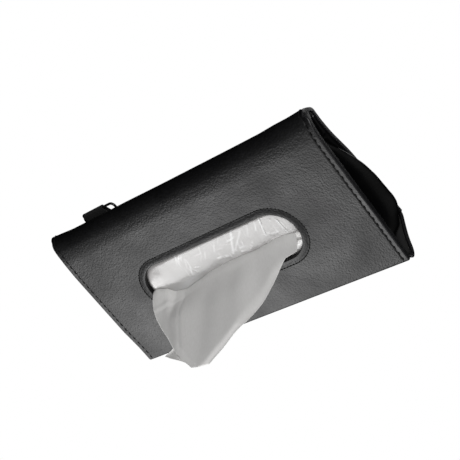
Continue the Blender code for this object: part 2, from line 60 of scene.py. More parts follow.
# Sizes of the pouch, as the CAD has them
half_length = 115 * MM
front_flat = 95.5 * MM
spine_depth = 14 * MM
wedge_angle = math.radians(8.2)
closure_angle = math.radians(45)
mount_from_spine = 44 * MM
corner_radius = 3 * MM
leather = 0.9 * MM
lining_near, lining_middle, lining_far = 2.5 * MM, 2.75 * MM, 3.0 * MM
wrap_thickness = 3.0 * MM
seat_gap = 0.3 * MM
slot_from_lip = 50.1 * MM
slot_offset = -3 * MM
slot_half_straight = 47.5 * MM
slot_radius = 18 * MM
rim_width = 5 * MM
turned_hem = 6 * MM
hem_length = 12.5 * MM
hem_half = 101 * MM
lining_half = 113 * MM
fold_radius = 5 * MM


class Outline:
    """A section line in the Y-Z plane, made of straight runs and arcs and read by the length along
    it. The left of its heading is the inner side of the wrap."""

    def __init__(self, y, z, heading):
        self.rows = [(0.0, y, z, heading)]

    def run(self, length):
        s, y, z, now = self.rows[-1]
        self.rows.append((s + length, y + length * math.cos(now), z + length * math.sin(now), now))
        return self

    def arc(self, radius, turn):
        s, y, z, start = self.rows[-1]
        side = math.copysign(radius, turn)
        steps = max(4, math.ceil(abs(turn) / math.radians(2)))
        for k in range(1, steps + 1):
            now = start + turn * k / steps
            over = side * (math.sin(now) - math.sin(start))
            up = side * (math.cos(start) - math.cos(now))
            self.rows.append((s + radius * abs(turn) * k / steps, y + over, z + up, now))
        return self

    @property
    def length(self):
        return self.rows[-1][0]

    def at(self, s, left=0.0):
        """Y and Z at a length along the line, moved to its left by a distance."""
        table = np.array(self.rows)
        y, z, heading = (np.interp(s, table[:, 0], table[:, k]) for k in (1, 2, 3))
        return y - left * np.sin(heading), z + left * np.cos(heading)


def ramp(value, start, stop):
    """A smooth step from 0 at start to 1 at stop."""
    t = min(max((value - start) / (stop - start), 0.0), 1.0)
    return t * t * (3 - 2 * t)


def hump(value, middle, width):
    """A bell of height 1 about a middle."""
    return np.exp(-(((value - middle) / width) ** 2))


# Spine: a tight round out of the back, a middle round, then a slow one into the front
slow_radius, slow_turn = 40 * MM, math.radians(14)
middle_radius, middle_turn = 13 * MM, math.radians(46)
tight_turn = math.pi - wedge_angle - slow_turn - middle_turn
tight_radius = (
    spine_depth
    - slow_radius * (1 - math.cos(slow_turn))
    - middle_radius * (math.cos(slow_turn) - math.cos(slow_turn + middle_turn))
) / (math.cos(slow_turn + middle_turn) + math.cos(wedge_angle))
lip_radius = (lining_near + leather) / 2
front_heading = -wedge_angle

spine = Outline(-mount_from_spine, 0, math.pi).arc(tight_radius, tight_turn)
spine.arc(middle_radius, middle_turn).arc(slow_radius, slow_turn)
lip_y = spine.rows[-1][1] + front_flat * math.cos(front_heading)
lip_z = spine.rows[-1][2] + front_flat * math.sin(front_heading)
lip_point = Vector((0, lip_y, lip_z))
along_front = Vector((0, math.cos(front_heading), math.sin(front_heading)))
into_pouch = Vector((0, -math.sin(front_heading), math.cos(front_heading)))

# Closing wall: hem inside the lip, round tip, wall, fold into the back
hem_face = 2 * lip_radius + seat_gap
tip_radius = wrap_thickness + 0.4 * MM
tip_centre = lip_point + along_front * (lip_radius - tip_radius) + into_pouch * (hem_face + tip_radius)
wall_heading = front_heading + math.pi - closure_angle
wall_out = Vector((0, math.sin(wall_heading), -math.cos(wall_heading)))
wall_start = tip_centre + wall_out * tip_radius
wall_length = (-fold_radius + fold_radius * wall_out.z - wall_start.z) / math.sin(wall_heading)
hem_start = tip_centre - into_pouch * tip_radius - along_front * hem_length
closure_line = Outline(hem_start.y, hem_start.z, front_heading).run(hem_length)
closure_line.arc(tip_radius, wall_heading - front_heading).run(wall_length)
wall_end = closure_line.length
closure_line.arc(fold_radius, closure_angle + wedge_angle)
fold_y = closure_line.rows[-1][1]

# Back, spine, front, lip and turned hem in one line
wrap_line = Outline(fold_y - seat_gap, 0, math.pi).run(fold_y - seat_gap + mount_from_spine)
s_spine = wrap_line.length
wrap_line.arc(tight_radius, tight_turn).arc(middle_radius, middle_turn).arc(slow_radius, slow_turn)
s_front = wrap_line.length
wrap_line.run(front_flat)
s_lip = wrap_line.length
wrap_line.arc(lip_radius, math.pi)
s_hem = wrap_line.length
wrap_line.run(turned_hem)
s_slot = s_lip - slot_from_lip
spine_tip = min(row[1] for row in wrap_line.rows)
mouth_tip = max(row[1] for row in closure_line.rows)
slot_centre = (slot_offset, s_slot)
# The part of the wrap that the slot's round grid fills
slot_left, slot_right, slot_low, slot_high = -81 * MM, 75 * MM, s_slot - 32 * MM, s_slot + 32 * MM
slot_window = (slot_left, slot_right, slot_low, slot_high)

# The padded spine's swell by the place along X, and the left end's bow by the length along the
# section, in mm
spine_swell = np.array(
    [(-115, 2.3), (-104, 1.7), (-94, 1.0), (-40, 0.9), (-10, 0.6), (50, 0.5), (76, 0.6), (88, 1.2)]
    + [(98, 1.3), (110, 1.9)]
)
end_bow = np.array(
    [(-60, 0.4), (-14, 1.6), (-5, 4.4), (3, 4.9), (7, 3.6), (12, 2.1), (18, 1.3), (24, 0.9)]
    + [(31, 1.2), (40, 1.7), (96, 1.75), (104, 1.1), (113, 0.5)]
)


def stand_out(x, s):
    """How far the stuffed wrap stands out from its plain section: the padded spine swells, least
    right of the middle and most at its ends, and the back bows up at both ends."""
    out = np.interp(x / MM, *spine_swell.T) * hump(s, s_spine + 5 * MM, 9 * MM)
    ends = ramp(abs(x), 94 * MM, 115 * MM)
    return (out + 2.1 * ends * ramp(s, 4 * MM, 22 * MM) * (1 - ramp(s, 52 * MM, 76 * MM))) * MM


def bowed(x, s):
    """X with the left end's soft bow, and the right end's at the back by the mouth. Both fade out
    towards the middle."""
    bow = np.interp((s - s_spine) / MM, *end_bow.T) * MM
    mouth = 1.5 * MM * (1 - ramp(s, 12 * MM, 40 * MM))
    return x - bow * ramp(-x, 74 * MM, half_length) + mouth * ramp(x, 90 * MM, half_length)


def soft_uneven(x, s):
    """The slight unevenness of leather over board, outwards only."""
    value = noise.noise(Vector((x / (38 * MM), s / (30 * MM), 2.7)))
    value += 0.5 * noise.noise(Vector((x / (15 * MM), s / (13 * MM), 8.1)))
    return 0.00014 * (value + 0.7) * ramp(s, s_spine + 14 * MM, s_front + 12 * MM)


def in_plan(x, y):
    """X drawn in where the pouch's corners are round, seen from above."""
    near = max(spine_tip + corner_radius - y, y - mouth_tip + corner_radius, 0.0)
    cut = corner_radius - math.sqrt(max(corner_radius**2 - min(near, corner_radius) ** 2, 0))
    share = max(0.0, (abs(x) - 100 * MM) / (15 * MM)) * (0.35 if x < 0 else 1.0)
    return x - math.copysign(cut * share, x)


def wrap_place(x, s, depth=0.0):
    """A place on the wrap: X, the length along its section and the depth under its face."""
    y, z = wrap_line.at(s, depth - stand_out(x, s))
    return Vector((bowed(in_plan(x, y), s), y, z))


def closure_place(x, s, depth=0.0):
    """A place on the closing wall, flared and curled at its right corner."""
    y, z = closure_line.at(s, depth)
    flare = 1.9 * MM * hump(s, hem_length + 3 * MM, 11 * MM)
    flare += 0.5 * MM * ramp(s, wall_end - 18 * MM, closure_line.length)
    flare *= ramp(x, 94 * MM, half_length) * ramp(s, hem_length - 0.3 * MM, hem_length + 1 * MM)
    curl = ramp(x, 106 * MM, half_length) * hump(s, hem_length + 2 * MM, 5 * MM)
    plan = in_plan(x, y)
    if x > 0:
        plan = x + 0.3 * (plan - x)
    return Vector((plan + flare, y + 1.0 * MM * curl, z - 1.8 * MM * curl))


def front_place(x, y, depth=0.0):
    """A place from the slot's centre: along the pouch, towards the open edge, into the pouch."""
    base = lip_point - along_front * slot_from_lip + Vector((slot_offset + x, 0, 0))
    return base + along_front * y + into_pouch * depth


def back_depth(y):
    """Depth of the back's face behind the front's, from the slot's centre."""
    base = lip_point - along_front * slot_from_lip
    return (-base.z - y * along_front.z) / into_pouch.z


def srgb(code, share=1.0):
    """The linear colour of an sRGB hex value, or a share of it."""
    parts = [int(code[k : k + 2], 16) / 255 for k in (0, 2, 4)]
    linear = [p / 12.92 if p <= 0.04045 else ((p + 0.055) / 1.055) ** 2.4 for p in parts]
    return (*[p * share for p in linear], 1.0)


def add(tree, kind, inputs=None, stops=(), **settings):
    """Adds a node with its settings, links and a colour ramp's stops, and gives its outputs. An
    input is a value or the socket that feeds it."""
    made = tree.nodes.new(kind)
    for name, value in settings.items():
        setattr(made, name, value)
    for name, value in (inputs or {}).items():
        if isinstance(value, bpy.types.NodeSocket):
            tree.links.new(value, made.inputs[name])
        else:
            made.inputs[name].default_value = value
    for k, (position, colour) in enumerate(stops):
        elements = made.color_ramp.elements
        stop = elements[k] if k < 2 else elements.new(position)
        stop.position, stop.color = position, colour
    return made.outputs


def new_finish(name):
    """An empty material and its node tree."""
    made = bpy.data.materials.new(name)
    made.use_nodes = True
    made.node_tree.nodes.clear()
    return made, made.node_tree


def close_finish(tree, inputs, height=None, strength=0.5, depth=0.0, invert=False):
    """Shades a finish, with fine relief where it has a height."""
    if height is not None:
        relief = {"Height": height, "Strength": strength, "Distance": depth}
        inputs = {**inputs, "Normal": add(tree, "ShaderNodeBump", relief, invert=invert)["Normal"]}
    shader = add(tree, "ShaderNodeBsdfPrincipled", inputs)
    add(tree, "ShaderNodeOutputMaterial", {"Surface": shader["BSDF"]})


def leather_finish(name, dark, light, rough, grain, depth, shine, layers=False):
    """Polyurethane leather, embossed with a fine pebble grain and finished satin: the grain breaks
    the soft highlight into specks, and broad patches are rubbed a little shinier."""
    made, tree = new_finish(name)
    place = add(tree, "ShaderNodeTexCoord")["Object"]
    pebbles = add(tree, "ShaderNodeTexVoronoi", {"Vector": place, "Scale": 1 / grain}, feature="SMOOTH_F1")
    pores = add(tree, "ShaderNodeTexNoise", {"Vector": place, "Scale": 1 / (grain * 2.2), "Detail": 5.0})
    rubbed = add(tree, "ShaderNodeTexNoise", {"Vector": place, "Scale": 1 / (26 * MM), "Detail": 3.0})
    mixed = add(tree, "ShaderNodeMath", {0: pebbles["Distance"], 1: pores[0]}, operation="ADD")[0]
    shade = add(tree, "ShaderNodeMapRange", {"Value": mixed, "From Min": 0.45, "From Max": 1.25})[0]
    tints = {"Factor": shade, "A": srgb(light), "B": srgb(dark)}
    base = add(tree, "ShaderNodeMix", tints, data_type="RGBA")["Result"]
    if layers:
        # Pressed edge of the wrap: the layers show as thin dark lines between leather and board
        depth_here = add(tree, "ShaderNodeAttribute", attribute_name="layer_depth")["Fac"]
        lines = []
        for seam_depth in (1.15 * MM, 2.2 * MM):
            away = add(tree, "ShaderNodeMath", {0: depth_here, 1: seam_depth}, operation="SUBTRACT")[0]
            away = add(tree, "ShaderNodeMath", {0: away}, operation="ABSOLUTE")[0]
            reach = {"Value": away, "From Min": 0.12 * MM, "From Max": 0.3 * MM}
            lines.append(add(tree, "ShaderNodeMapRange", reach)[0])
        both = add(tree, "ShaderNodeMath", dict(enumerate(lines)), operation="MULTIPLY")[0]
        tints = {"Factor": both, "A": srgb("050505"), "B": base}
        base = add(tree, "ShaderNodeMix", tints, data_type="RGBA")["Result"]
    span = {"From Min": 0.3, "From Max": 0.7, "To Min": rough - 0.05, "To Max": rough + 0.06}
    roughness = add(tree, "ShaderNodeMapRange", {"Value": rubbed[0], **span})[0]
    look = {"Base Color": base, "Roughness": roughness, "IOR": 1.5, "Specular IOR Level": shine}
    close_finish(tree, look, mixed, 0.9, depth, invert=True)
    return made


def woven_finish(name, code, rib, pick, depth, rough):
    """Woven tape: ribs across and picks along give a tight basket of short dark shadows. The piece's
    UV map holds the length along the tape and the way across it, in metres."""
    made, tree = new_finish(name)
    uv = add(tree, "ShaderNodeUVMap", uv_map="tape")["UV"]
    apart = add(tree, "ShaderNodeSeparateXYZ", {"Vector": uv})
    waves = []
    for axis, pitch in (("X", pick), ("Y", rib)):
        turn = add(tree, "ShaderNodeMath", {0: apart[axis], 1: 2 * math.pi / pitch}, operation="MULTIPLY")
        waves.append(add(tree, "ShaderNodeMath", {0: turn[0]}, operation="SINE")[0])
    weave = add(tree, "ShaderNodeMath", dict(enumerate(waves)), operation="MULTIPLY")[0]
    height = add(tree, "ShaderNodeMapRange", {"Value": weave, "From Min": -1.0, "From Max": 1.0})[0]
    fuzz = add(tree, "ShaderNodeTexNoise", {"Vector": uv, "Scale": 1 / (0.35 * MM), "Detail": 3.0})[0]
    full = add(tree, "ShaderNodeMath", {0: fuzz, 1: 0.35, 2: height}, operation="MULTIPLY_ADD")[0]
    colour = add(tree, "ShaderNodeValToRGB", {"Fac": full}, [(0.0, srgb(code, 0.35)), (1.0, srgb(code))])
    look = {"Base Color": colour["Color"], "Roughness": rough, "Sheen Weight": 0.08, "Sheen Roughness": 0.5}
    close_finish(tree, look, full, 0.7, depth)
    return made


def grained_finish(name, dark, light, size, depth, inputs, stretch=(1, 1, 1)):
    """A finish whose colour and height follow one fine random grain of a size in metres."""
    made, tree = new_finish(name)
    place = add(tree, "ShaderNodeTexCoord")["Object"]
    turned = add(tree, "ShaderNodeMapping", {"Vector": place, "Scale": stretch})["Vector"]
    speckle = {"Vector": turned, "Scale": 1 / size, "Detail": 6.0, "Roughness": 0.6}
    grain = add(tree, "ShaderNodeTexNoise", speckle)[0]
    colour = add(tree, "ShaderNodeValToRGB", {"Fac": grain}, [(0.3, srgb(dark)), (0.7, srgb(light))])
    close_finish(tree, {"Base Color": colour["Color"], **inputs}, grain, 0.5, depth)
    return made


# Embossed satin polyurethane leather: dark, with a soft grey sheen where it faces the light
satin_leather = leather_finish("satin_pu_leather", "060607", "111113", 0.46, 1.15 * MM, 0.16 * MM, 0.36)
edge_leather = leather_finish(
    "pressed_leather_edge", "18181a", "262629", 0.40, 0.8 * MM, 0.03 * MM, 0.6, layers=True
)
# Thinner glove leather of the bellows: blacker, and glossier along its folds
bellows_leather = leather_finish("bellows_pu_leather", "040405", "09090a", 0.34, 1.1 * MM, 0.04 * MM, 0.4)
# Taffeta lining: dull black cloth, nearly all shadow
lining_cloth = grained_finish(
    "taffeta_lining", "070708", "111112", 0.5 * MM, 0.03 * MM, {"Roughness": 0.8, "Sheen Weight": 0.1}
)
# Bonded polyester thread: slightly shiny black
thread = grained_finish(
    "bonded_thread", "020202", "070707", 0.25 * MM, 0.02 * MM, {"Roughness": 0.7, "Specular IOR Level": 0.25}
)
# Grey chipboard: pressed paper fibres in mixed greys
chipboard = grained_finish(
    "grey_chipboard", "76736c", "938f86", 0.9 * MM, 0.06 * MM, {"Roughness": 0.92}
)
# Nickel plate over a sintered magnet: bright, with a faint orange-peel
nickel = grained_finish(
    "nickel_plate", "b9b5ad", "c9c6bf", 1.5 * MM, 0.01 * MM, {"Roughness": 0.24, "Metallic": 1.0}
)
# Powder-coated wire: black with a small tight highlight
coated_wire = grained_finish(
    "coated_wire", "0b0b0c", "121213", 0.6 * MM, 0.015 * MM, {"Roughness": 0.32, "Coat Weight": 0.3}
)
# Blown polyethylene film, crinkled: milky over the white tissues. Painted highlights: bright streaks
# painted along the ridges of its creases, and painted light by the left of the slit
pack_film, film_tree = new_finish("crinkled_film")
# The ridge attribute carries the painted highlights into the colour
painted_highlights = add(film_tree, "ShaderNodeAttribute", attribute_name="ridge")["Fac"]
film_place = add(film_tree, "ShaderNodeTexCoord")["Object"]
haze = add(film_tree, "ShaderNodeTexNoise", {"Vector": film_place, "Scale": 1 / (9 * MM), "Detail": 3.0})[0]
haze_and_painted_highlights = add(film_tree, "ShaderNodeMath", {0: haze, 1: 0.3, 2: painted_highlights}, operation="MULTIPLY_ADD")[0]
film_stops = [(0.05, srgb("adabaa")), (1.0, srgb("e2e2e2")), (0.2, srgb("b3b1b0"))]
film_colour = add(film_tree, "ShaderNodeValToRGB", {"Fac": haze_and_painted_highlights}, film_stops)["Color"]
film_look = {"Roughness": 0.26, "Coat Weight": 0.3, "Coat Roughness": 0.12}
close_finish(film_tree, {"Base Color": film_colour, **film_look})
# Facial tissue, creped: matt white with hair-fine wrinkles across its length
tissue_look = {"Roughness": 0.95, "Sheen Weight": 0.15}
creped_paper = grained_finish(
    "creped_tissue", "f1f0ee", "f9f8f7", 0.8 * MM, 0.05 * MM, tissue_look, stretch=(1.0, 0.3, 0.3)
)
# Elastic webbing and the fastener's tape: matt black yarn, ribbed across
elastic_tape = woven_finish("woven_elastic", "121213", 1.3 * MM, 1.6 * MM, 0.18 * MM, 0.82)
fastener_tape = woven_finish("hook_and_loop_tape", "101011", 0.9 * MM, 0.9 * MM, 0.2 * MM, 0.9)


def linked(name, data):
    """A new object of the scene."""
    made = bpy.data.objects.new(name, data)
    bpy.context.scene.collection.objects.link(made)
    return made


def baked(source):
    """A mesh of an object with its modifiers applied."""
    graph = bpy.context.evaluated_depsgraph_get()
    graph.update()
    return bpy.data.meshes.new_from_object(source.evaluated_get(graph))


def finished(name, skin, finishes, body=None, nodes=(), smooth=38, thick=0.0):
    """Makes a piece from a bmesh, gives a sheet its thickness, and lets the piece ride on a body and
    stand for CAD nodes."""
    bmesh.ops.recalc_face_normals(skin, faces=skin.faces)
    mesh = bpy.data.meshes.new(name)
    skin.to_mesh(mesh)
    skin.free()
    mesh.shade_smooth()
    mesh.set_sharp_from_angle(angle=math.radians(smooth))
    for finish in finishes:
        mesh.materials.append(finish)
    made = linked(name, mesh)
    if thick:
        solid = made.modifiers.new("thickness", "SOLIDIFY")
        solid.thickness, solid.offset = thick, 0
        made.data = baked(made)
        made.modifiers.clear()
        bpy.data.meshes.remove(mesh)
        made.data.name = name
    if body:
        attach(made, body)
    if nodes:
        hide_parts(*nodes)
    return made


def pieces_between(*stops):
    """Steps between (place, step) stops, each stretch split evenly."""
    found = [stops[0][0]]
    for (a, step), (b, _) in zip(stops, stops[1:]):
        count = max(1, round((b - a) / step))
        found += [a + (b - a) * (k + 1) / count for k in range(count)]
    return found


def pierced_grid(skin, xs, ys, window, half_straight, radius, centre, loops, place):
    """A grid of places with a window left out, closed in by loops down to a round-ended hole.
    window is (first x, last x, first y, last y). Returns the grid and the loop at the hole with
    each vertex's place and its way out of the hole."""
    columns = [min(range(len(xs)), key=lambda j: abs(xs[j] - w)) for w in window[:2]]
    lines = [min(range(len(ys)), key=lambda i: abs(ys[i] - w)) for w in window[2:]]
    left, right, low, high = *columns, *lines
    grid = {}
    for i, y in enumerate(ys):
        for j, x in enumerate(xs):
            if not (low < i < high and left < j < right):
                grid[i, j] = skin.verts.new(place(x, y))
    for i in range(len(ys) - 1):
        for j in range(len(xs) - 1):
            if not (low <= i < high and left <= j < right):
                skin.faces.new((grid[i, j], grid[i, j + 1], grid[i + 1, j + 1], grid[i + 1, j]))
    edge = [(low, j) for j in range(left, right)] + [(i, right) for i in range(low, high)]
    edge += [(high, j) for j in range(right, left, -1)] + [(i, left) for i in range(high, low, -1)]
    before = [grid[key] for key in edge]
    hole = []
    for loop in range(1, loops + 1):
        share = 1 - (1 - loop / loops) ** 1.5
        ring = []
        for i, j in edge:
            x, y = xs[j] - centre[0], ys[i] - centre[1]
            middle = min(max(x, -half_straight), half_straight)
            reach = math.hypot(x - middle, y)
            out = ((x - middle) / reach, y / reach)
            hx, hy = middle + out[0] * radius, out[1] * radius
            at = (centre[0] + x + (hx - x) * share, centre[1] + y + (hy - y) * share)
            ring.append(skin.verts.new(place(*at)))
            if loop == loops:
                hole.append((ring[-1], at, out))
        for k in range(len(ring)):
            skin.faces.new((before[k - 1], before[k], ring[k], ring[k - 1]))
        before = ring
    return grid, hole


def bridge(skin, one, other, closed=True):
    """Faces between two lines of vertices, and the new faces."""
    first = 0 if closed else 1
    return [skin.faces.new((one[k - 1], one[k], other[k], other[k - 1])) for k in range(first, len(one))]


def weave(skin, lines, closed=False, ring=False):
    """Faces between each line of vertices and the next, and in a ring from the last to the first."""
    for one, other in zip(lines, lines[1:] + (lines[:1] if ring else [])):
        bridge(skin, one, other, closed)


def laid(skin, xs, ys, place):
    """A grid of places with its faces."""
    grid = {(i, j): skin.verts.new(place(x, y)) for i, y in enumerate(ys) for j, x in enumerate(xs)}
    for i, j in grid:
        if i and j:
            skin.faces.new((grid[i - 1, j - 1], grid[i - 1, j], grid[i, j], grid[i, j - 1]))
    return grid


def rim_of(grid, rows, cols):
    """The vertices round a grid, in order."""
    keys = [(0, j) for j in range(cols)] + [(i, cols - 1) for i in range(1, rows)]
    keys += [(rows - 1, j) for j in range(cols - 2, -1, -1)] + [(i, 0) for i in range(rows - 2, 0, -1)]
    return [grid[key] for key in keys]


def round_slot(out):
    """Places round the slot at a distance outside its edge, along X and along the wrap's section."""
    found = []
    reach = slot_radius + out
    per_round, per_straight = 30, 34
    for side, start in ((1, -math.pi / 2), (-1, math.pi / 2)):
        for k in range(per_round):
            turn = start + math.pi * k / per_round
            found.append((side * slot_half_straight + reach * math.cos(turn), reach * math.sin(turn)))
        for k in range(per_straight):
            found.append((side * slot_half_straight * (1 - 2 * k / per_straight), side * reach))
    return [(slot_offset + x, s_slot + y) for x, y in found]


stitch_inset = 3.7 * MM
roll = 0.9 * MM


def groove(x):
    """How deep the end stitching pulls the leather in: steep at its inner side, and rising slowly to
    the edge."""
    off = abs(x) - (half_length - stitch_inset)
    if off < 0:
        return 0.3 * MM * ramp(off, -0.8 * MM, 0.0)
    return 0.3 * MM * (1 - ramp(off, 0.0, 2.7 * MM))


end_columns = pieces_between(
    (100 * MM, 3 * MM), (109.6 * MM, 0.35 * MM), (113 * MM, 0.35 * MM), (half_length - roll, 1)
)
middle_columns = pieces_between(
    (-100 * MM, 2.4 * MM), (slot_left, 2 * MM), (slot_right, 2.5 * MM), (100 * MM, 1)
)
columns = [*(-x for x in reversed(end_columns)), *middle_columns[1:-1], *end_columns]


def band_depth(s):
    """How deep the pressed end of the wrap is: all its layers, or half the turned lip."""
    hem_end = s_lip - turned_hem
    return wrap_thickness + (lip_radius - wrap_thickness) * ramp(s, hem_end - 2 * MM, hem_end)


def close_ends(skin, outer, inner, rows, place, band):
    """Rolled and pressed ends of a leather shell, between its outer and inner grids, and its first
    and last edges."""
    layer = skin.verts.layers.float["layer_depth"]
    last = len(columns) - 1
    for side, column in ((1, last), (-1, 0)):
        lines = []
        for i, s in enumerate(rows):
            full = band(s)
            steps = []
            for k in range(1, 6):
                turn = math.pi / 2 * k / 5
                depth = min(roll * (1 - math.cos(turn)), full)
                steps.append((half_length - roll + roll * math.sin(turn), depth))
            steps += [(half_length, roll + (full - roll) * share) for share in (0.5, 1.0)]
            steps.append((half_length - roll, full))
            line = [outer[i, column]]
            for x, depth in steps:
                line.append(skin.verts.new(place(side * x, s, depth)))
                line[-1][layer] = depth
            lines.append([*line, inner[i, column]])
        for one, other in zip(lines, lines[1:]):
            for face in bridge(skin, one, other, closed=False):
                face.material_index = 1
        for line in (lines[0], lines[-1]):
            skin.faces.new(line).material_index = 1
    for i in (0, len(rows) - 1):
        bridge(skin, *([grid[i, j] for j in range(last + 1)] for grid in (outer, inner)), closed=False)


def make_pouch_leather():
    """The one piece of leather over the back, the spine and the front, with its lip turned in."""
    skin = bmesh.new()
    skin.verts.layers.float.new("layer_depth")
    rows = pieces_between(
        (0.0, 2.5 * MM), (s_spine - 3 * MM, 0.8 * MM), (s_spine + 21 * MM, 1.5 * MM),
        (slot_low, 2 * MM), (slot_high, 1.6 * MM), (s_lip, 0.33 * MM),
        (s_hem, 1.5 * MM), (wrap_line.length, 1),
    )
    radius = slot_radius + rim_width - 0.1 * MM

    def outer_place(x, s):
        depth = groove(x) if s < s_lip else 0.0
        if s_front - 5 * MM < s < s_lip:
            depth -= soft_uneven(x, s)
        return wrap_place(x, s, depth)

    outer, rim = pierced_grid(
        skin, columns, rows, slot_window, slot_half_straight, radius + 0.35 * MM, slot_centre, 9, outer_place
    )
    inner, inner_rim = pierced_grid(
        skin, columns, rows, slot_window, slot_half_straight, radius, slot_centre, 6,
        lambda x, s: wrap_place(x, s, leather),
    )
    # The cut edge rolls down to the rim's stitching
    rings = [[vert for vert, at, out in rim]]
    for back, depth in ((0.1 * MM, 0.03 * MM), (0.22 * MM, 0.1 * MM)):
        places = [(at[0] - out[0] * back, at[1] - out[1] * back) for vert, at, out in rim]
        rings.append([skin.verts.new(wrap_place(x, s, depth)) for x, s in places])
    weave(skin, [*rings, [vert for vert, at, out in inner_rim]], closed=True)
    close_ends(skin, outer, inner, rows, wrap_place, band_depth)
    nodes = ("outer_leather", "spine_foam")
    finished("pouch_leather", skin, (satin_leather, edge_leather), "pouch", nodes)


def make_pouch_lining():
    """Black taffeta inside the wrap, with the slot cut out of it."""
    skin = bmesh.new()
    xs = pieces_between((-lining_half, 5 * MM), (slot_left, 4 * MM), (slot_right, 5 * MM), (lining_half, 1))
    rows = pieces_between(
        (0.0, 4 * MM), (s_spine, 1.2 * MM), (s_front, 4 * MM), (slot_low, 4 * MM),
        (slot_high, 2 * MM), (s_lip - turned_hem - seat_gap, 1),
    )
    pierced_grid(
        skin, xs, rows, slot_window, slot_half_straight, slot_radius + rim_width, slot_centre, 5,
        lambda x, s: wrap_place(x, s, lining_middle),
    )
    thick = lining_far - lining_near
    finished("pouch_taffeta", skin, (lining_cloth,), "pouch", ("pouch_lining",), thick=thick)


def make_back_stiffener():
    """The grey board of the back, bowed with the leather over it."""
    skin = bmesh.new()
    reach = half_length - 2.5 * MM
    xs = pieces_between((-reach, 2 * MM), (-92 * MM, 8 * MM), (92 * MM, 2 * MM), (reach, 1))
    laid(skin, xs, pieces_between((3 * MM, 3 * MM), (s_spine, 1)), lambda x, s: wrap_place(x, s, 1.7 * MM))
    finished("back_stiffener", skin, (chipboard,), "pouch", ("back_board",), thick=1.0 * MM)


def make_slot_rim():
    """The binding of the slot: a rolled leather edge that stands a little proud of the front and
    dips to its stitching."""
    skin = bmesh.new()
    # The way out of the slot and the depth under the front, in mm
    profile = [(4.75, 3.0), (0.0, 3.0), (0.0, 0.6)]
    turns = np.linspace(0, math.pi / 2, 8)
    profile += [(0.75 - 0.75 * math.cos(turn), 0.2 - 0.75 * math.sin(turn)) for turn in turns]
    profile += [(1.4, -0.52), (2.1, -0.44), (2.7, -0.33), (3.3, -0.19), (3.8, -0.06)]
    profile += [(4.2, 0.02), (4.5, 0.07), (4.75, 0.12)]
    loops = []
    for out, depth in profile:
        loops.append([skin.verts.new(wrap_place(x, s, depth * MM)) for x, s in round_slot(out * MM)])
    weave(skin, loops, closed=True, ring=True)
    finished("slot_binding", skin, (satin_leather,), "pouch", ("slot_rim",), 60)


def make_closure():
    """The closing wall with its hem and round tip, and its lining."""
    skin = bmesh.new()
    skin.verts.layers.float.new("layer_depth")
    rows = pieces_between(
        (0.0, 1.6 * MM), (hem_length - 0.3 * MM, 0.3 * MM), (hem_length, 0.5 * MM),
        (wall_end - wall_length, 2 * MM), (wall_end, 0.45 * MM), (closure_line.length, 1),
    )

    def place(x, s, depth=0.0):
        if s < hem_length - 0.15 * MM:
            x *= hem_half / half_length
        return closure_place(x, s, depth)

    outer = laid(skin, columns, rows, lambda x, s: place(x, s, groove(x) if s > hem_length else 0.0))
    inner = laid(skin, columns, rows, lambda x, s: place(x, s, leather))
    close_ends(skin, outer, inner, rows, place, lambda s: wrap_thickness)
    cloth = bmesh.new()
    xs = pieces_between((-lining_half, 5 * MM), (lining_half, 1))
    laid(cloth, xs, rows, lambda x, s: place(x, s, lining_middle))
    thick = lining_far - lining_near
    end = closure_place(0, wall_end + 1 * MM, 1.5 * MM)
    finishes = (satin_leather, edge_leather)
    nodes = ("closure_lining",)
    for made in (
        finished("closing_lip_leather", skin, finishes, None, ("closure_leather",)),
        finished("closing_lip_taffeta", cloth, (lining_cloth,), None, nodes, thick=thick),
    ):
        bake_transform(made, "pouch", "closing_lip", (0, fold_y, 0), end)


def even_lengths(outline, start, stop, left, count):
    """Lengths along an outline whose places to its left are evenly spaced."""
    s = np.linspace(start, stop, 600)
    y, z = outline.at(s, left)
    total = np.concatenate([[0], np.cumsum(np.hypot(np.diff(y), np.diff(z)))])
    return np.interp(np.linspace(0, total[-1], count), total, s)


def make_bellows(word, side):
    """A bellows end in thin leather: flanges glued to the front and back, a fold that deepens away
    from the open edge, and a rear half that bulges out near it."""
    stations, across = 56, 47
    middle = 0.35 * MM + seat_gap + lining_far
    apex = s_spine + tight_radius * tight_turn * 8 / 13
    fronts = even_lengths(wrap_line, s_lip - 6 * MM, apex, middle, stations)
    backs = even_lengths(wrap_line, 0.0, apex, middle, stations)
    fold_share, fold_deep, swell_far = 0.42, 11 * MM, 15.5 * MM
    flange_least, flange_more = 1.5 * MM, 3.5 * MM
    skin = bmesh.new()
    lines = []
    for i, ends in enumerate(zip(fronts, backs)):
        run = i / (stations - 1)
        f, b = (wrap_place(side * (half_length - 1 * MM), s, middle) for s in ends)
        if (f - b).length < 1.4 * MM:
            break
        narrow = min(1.0, (1 - run) / 0.25)
        flange = flange_least + flange_more * narrow
        fold = fold_deep * math.sin(math.pi * min(1.0, run / 0.87)) * narrow
        swell = swell_far * math.cos(math.pi / 2 * min(1.0, abs(run - 0.36) / 0.44))
        swell += 2.5 * MM * hump(run, 0.13, 0.1)
        row = [(0.0, 0.0)]
        for k in range(across - 2):
            share = k / (across - 3)
            rear = max(0.0, (share - fold_share) / (1 - fold_share))
            inward = fold * (min(share / fold_share, 1 - rear) - 0.1 * hump(share, fold_share, 0.06))
            inward -= swell * math.sin(math.pi * rear**1.6)
            crease = noise.noise(Vector((run * 9, share * 5, side * 3.0)))
            crease += 0.6 * noise.noise(Vector((run * 22, share * 3 + run * 6, side * 7.0)))
            inward += 0.9 * MM * crease * math.sin(math.pi * share) * narrow
            row.append((share, flange + inward))
        row.append((1.0, 0.0))
        places = [(side * (abs(f.x) - inward), *f.lerp(b, share).yz) for share, inward in row]
        lines.append([skin.verts.new(at) for at in places])
    weave(skin, lines)
    nodes = (f"gusset_{word}",)
    finished(f"bellows_{word}", skin, (bellows_leather,), "pouch", nodes, 70, 0.7 * MM)


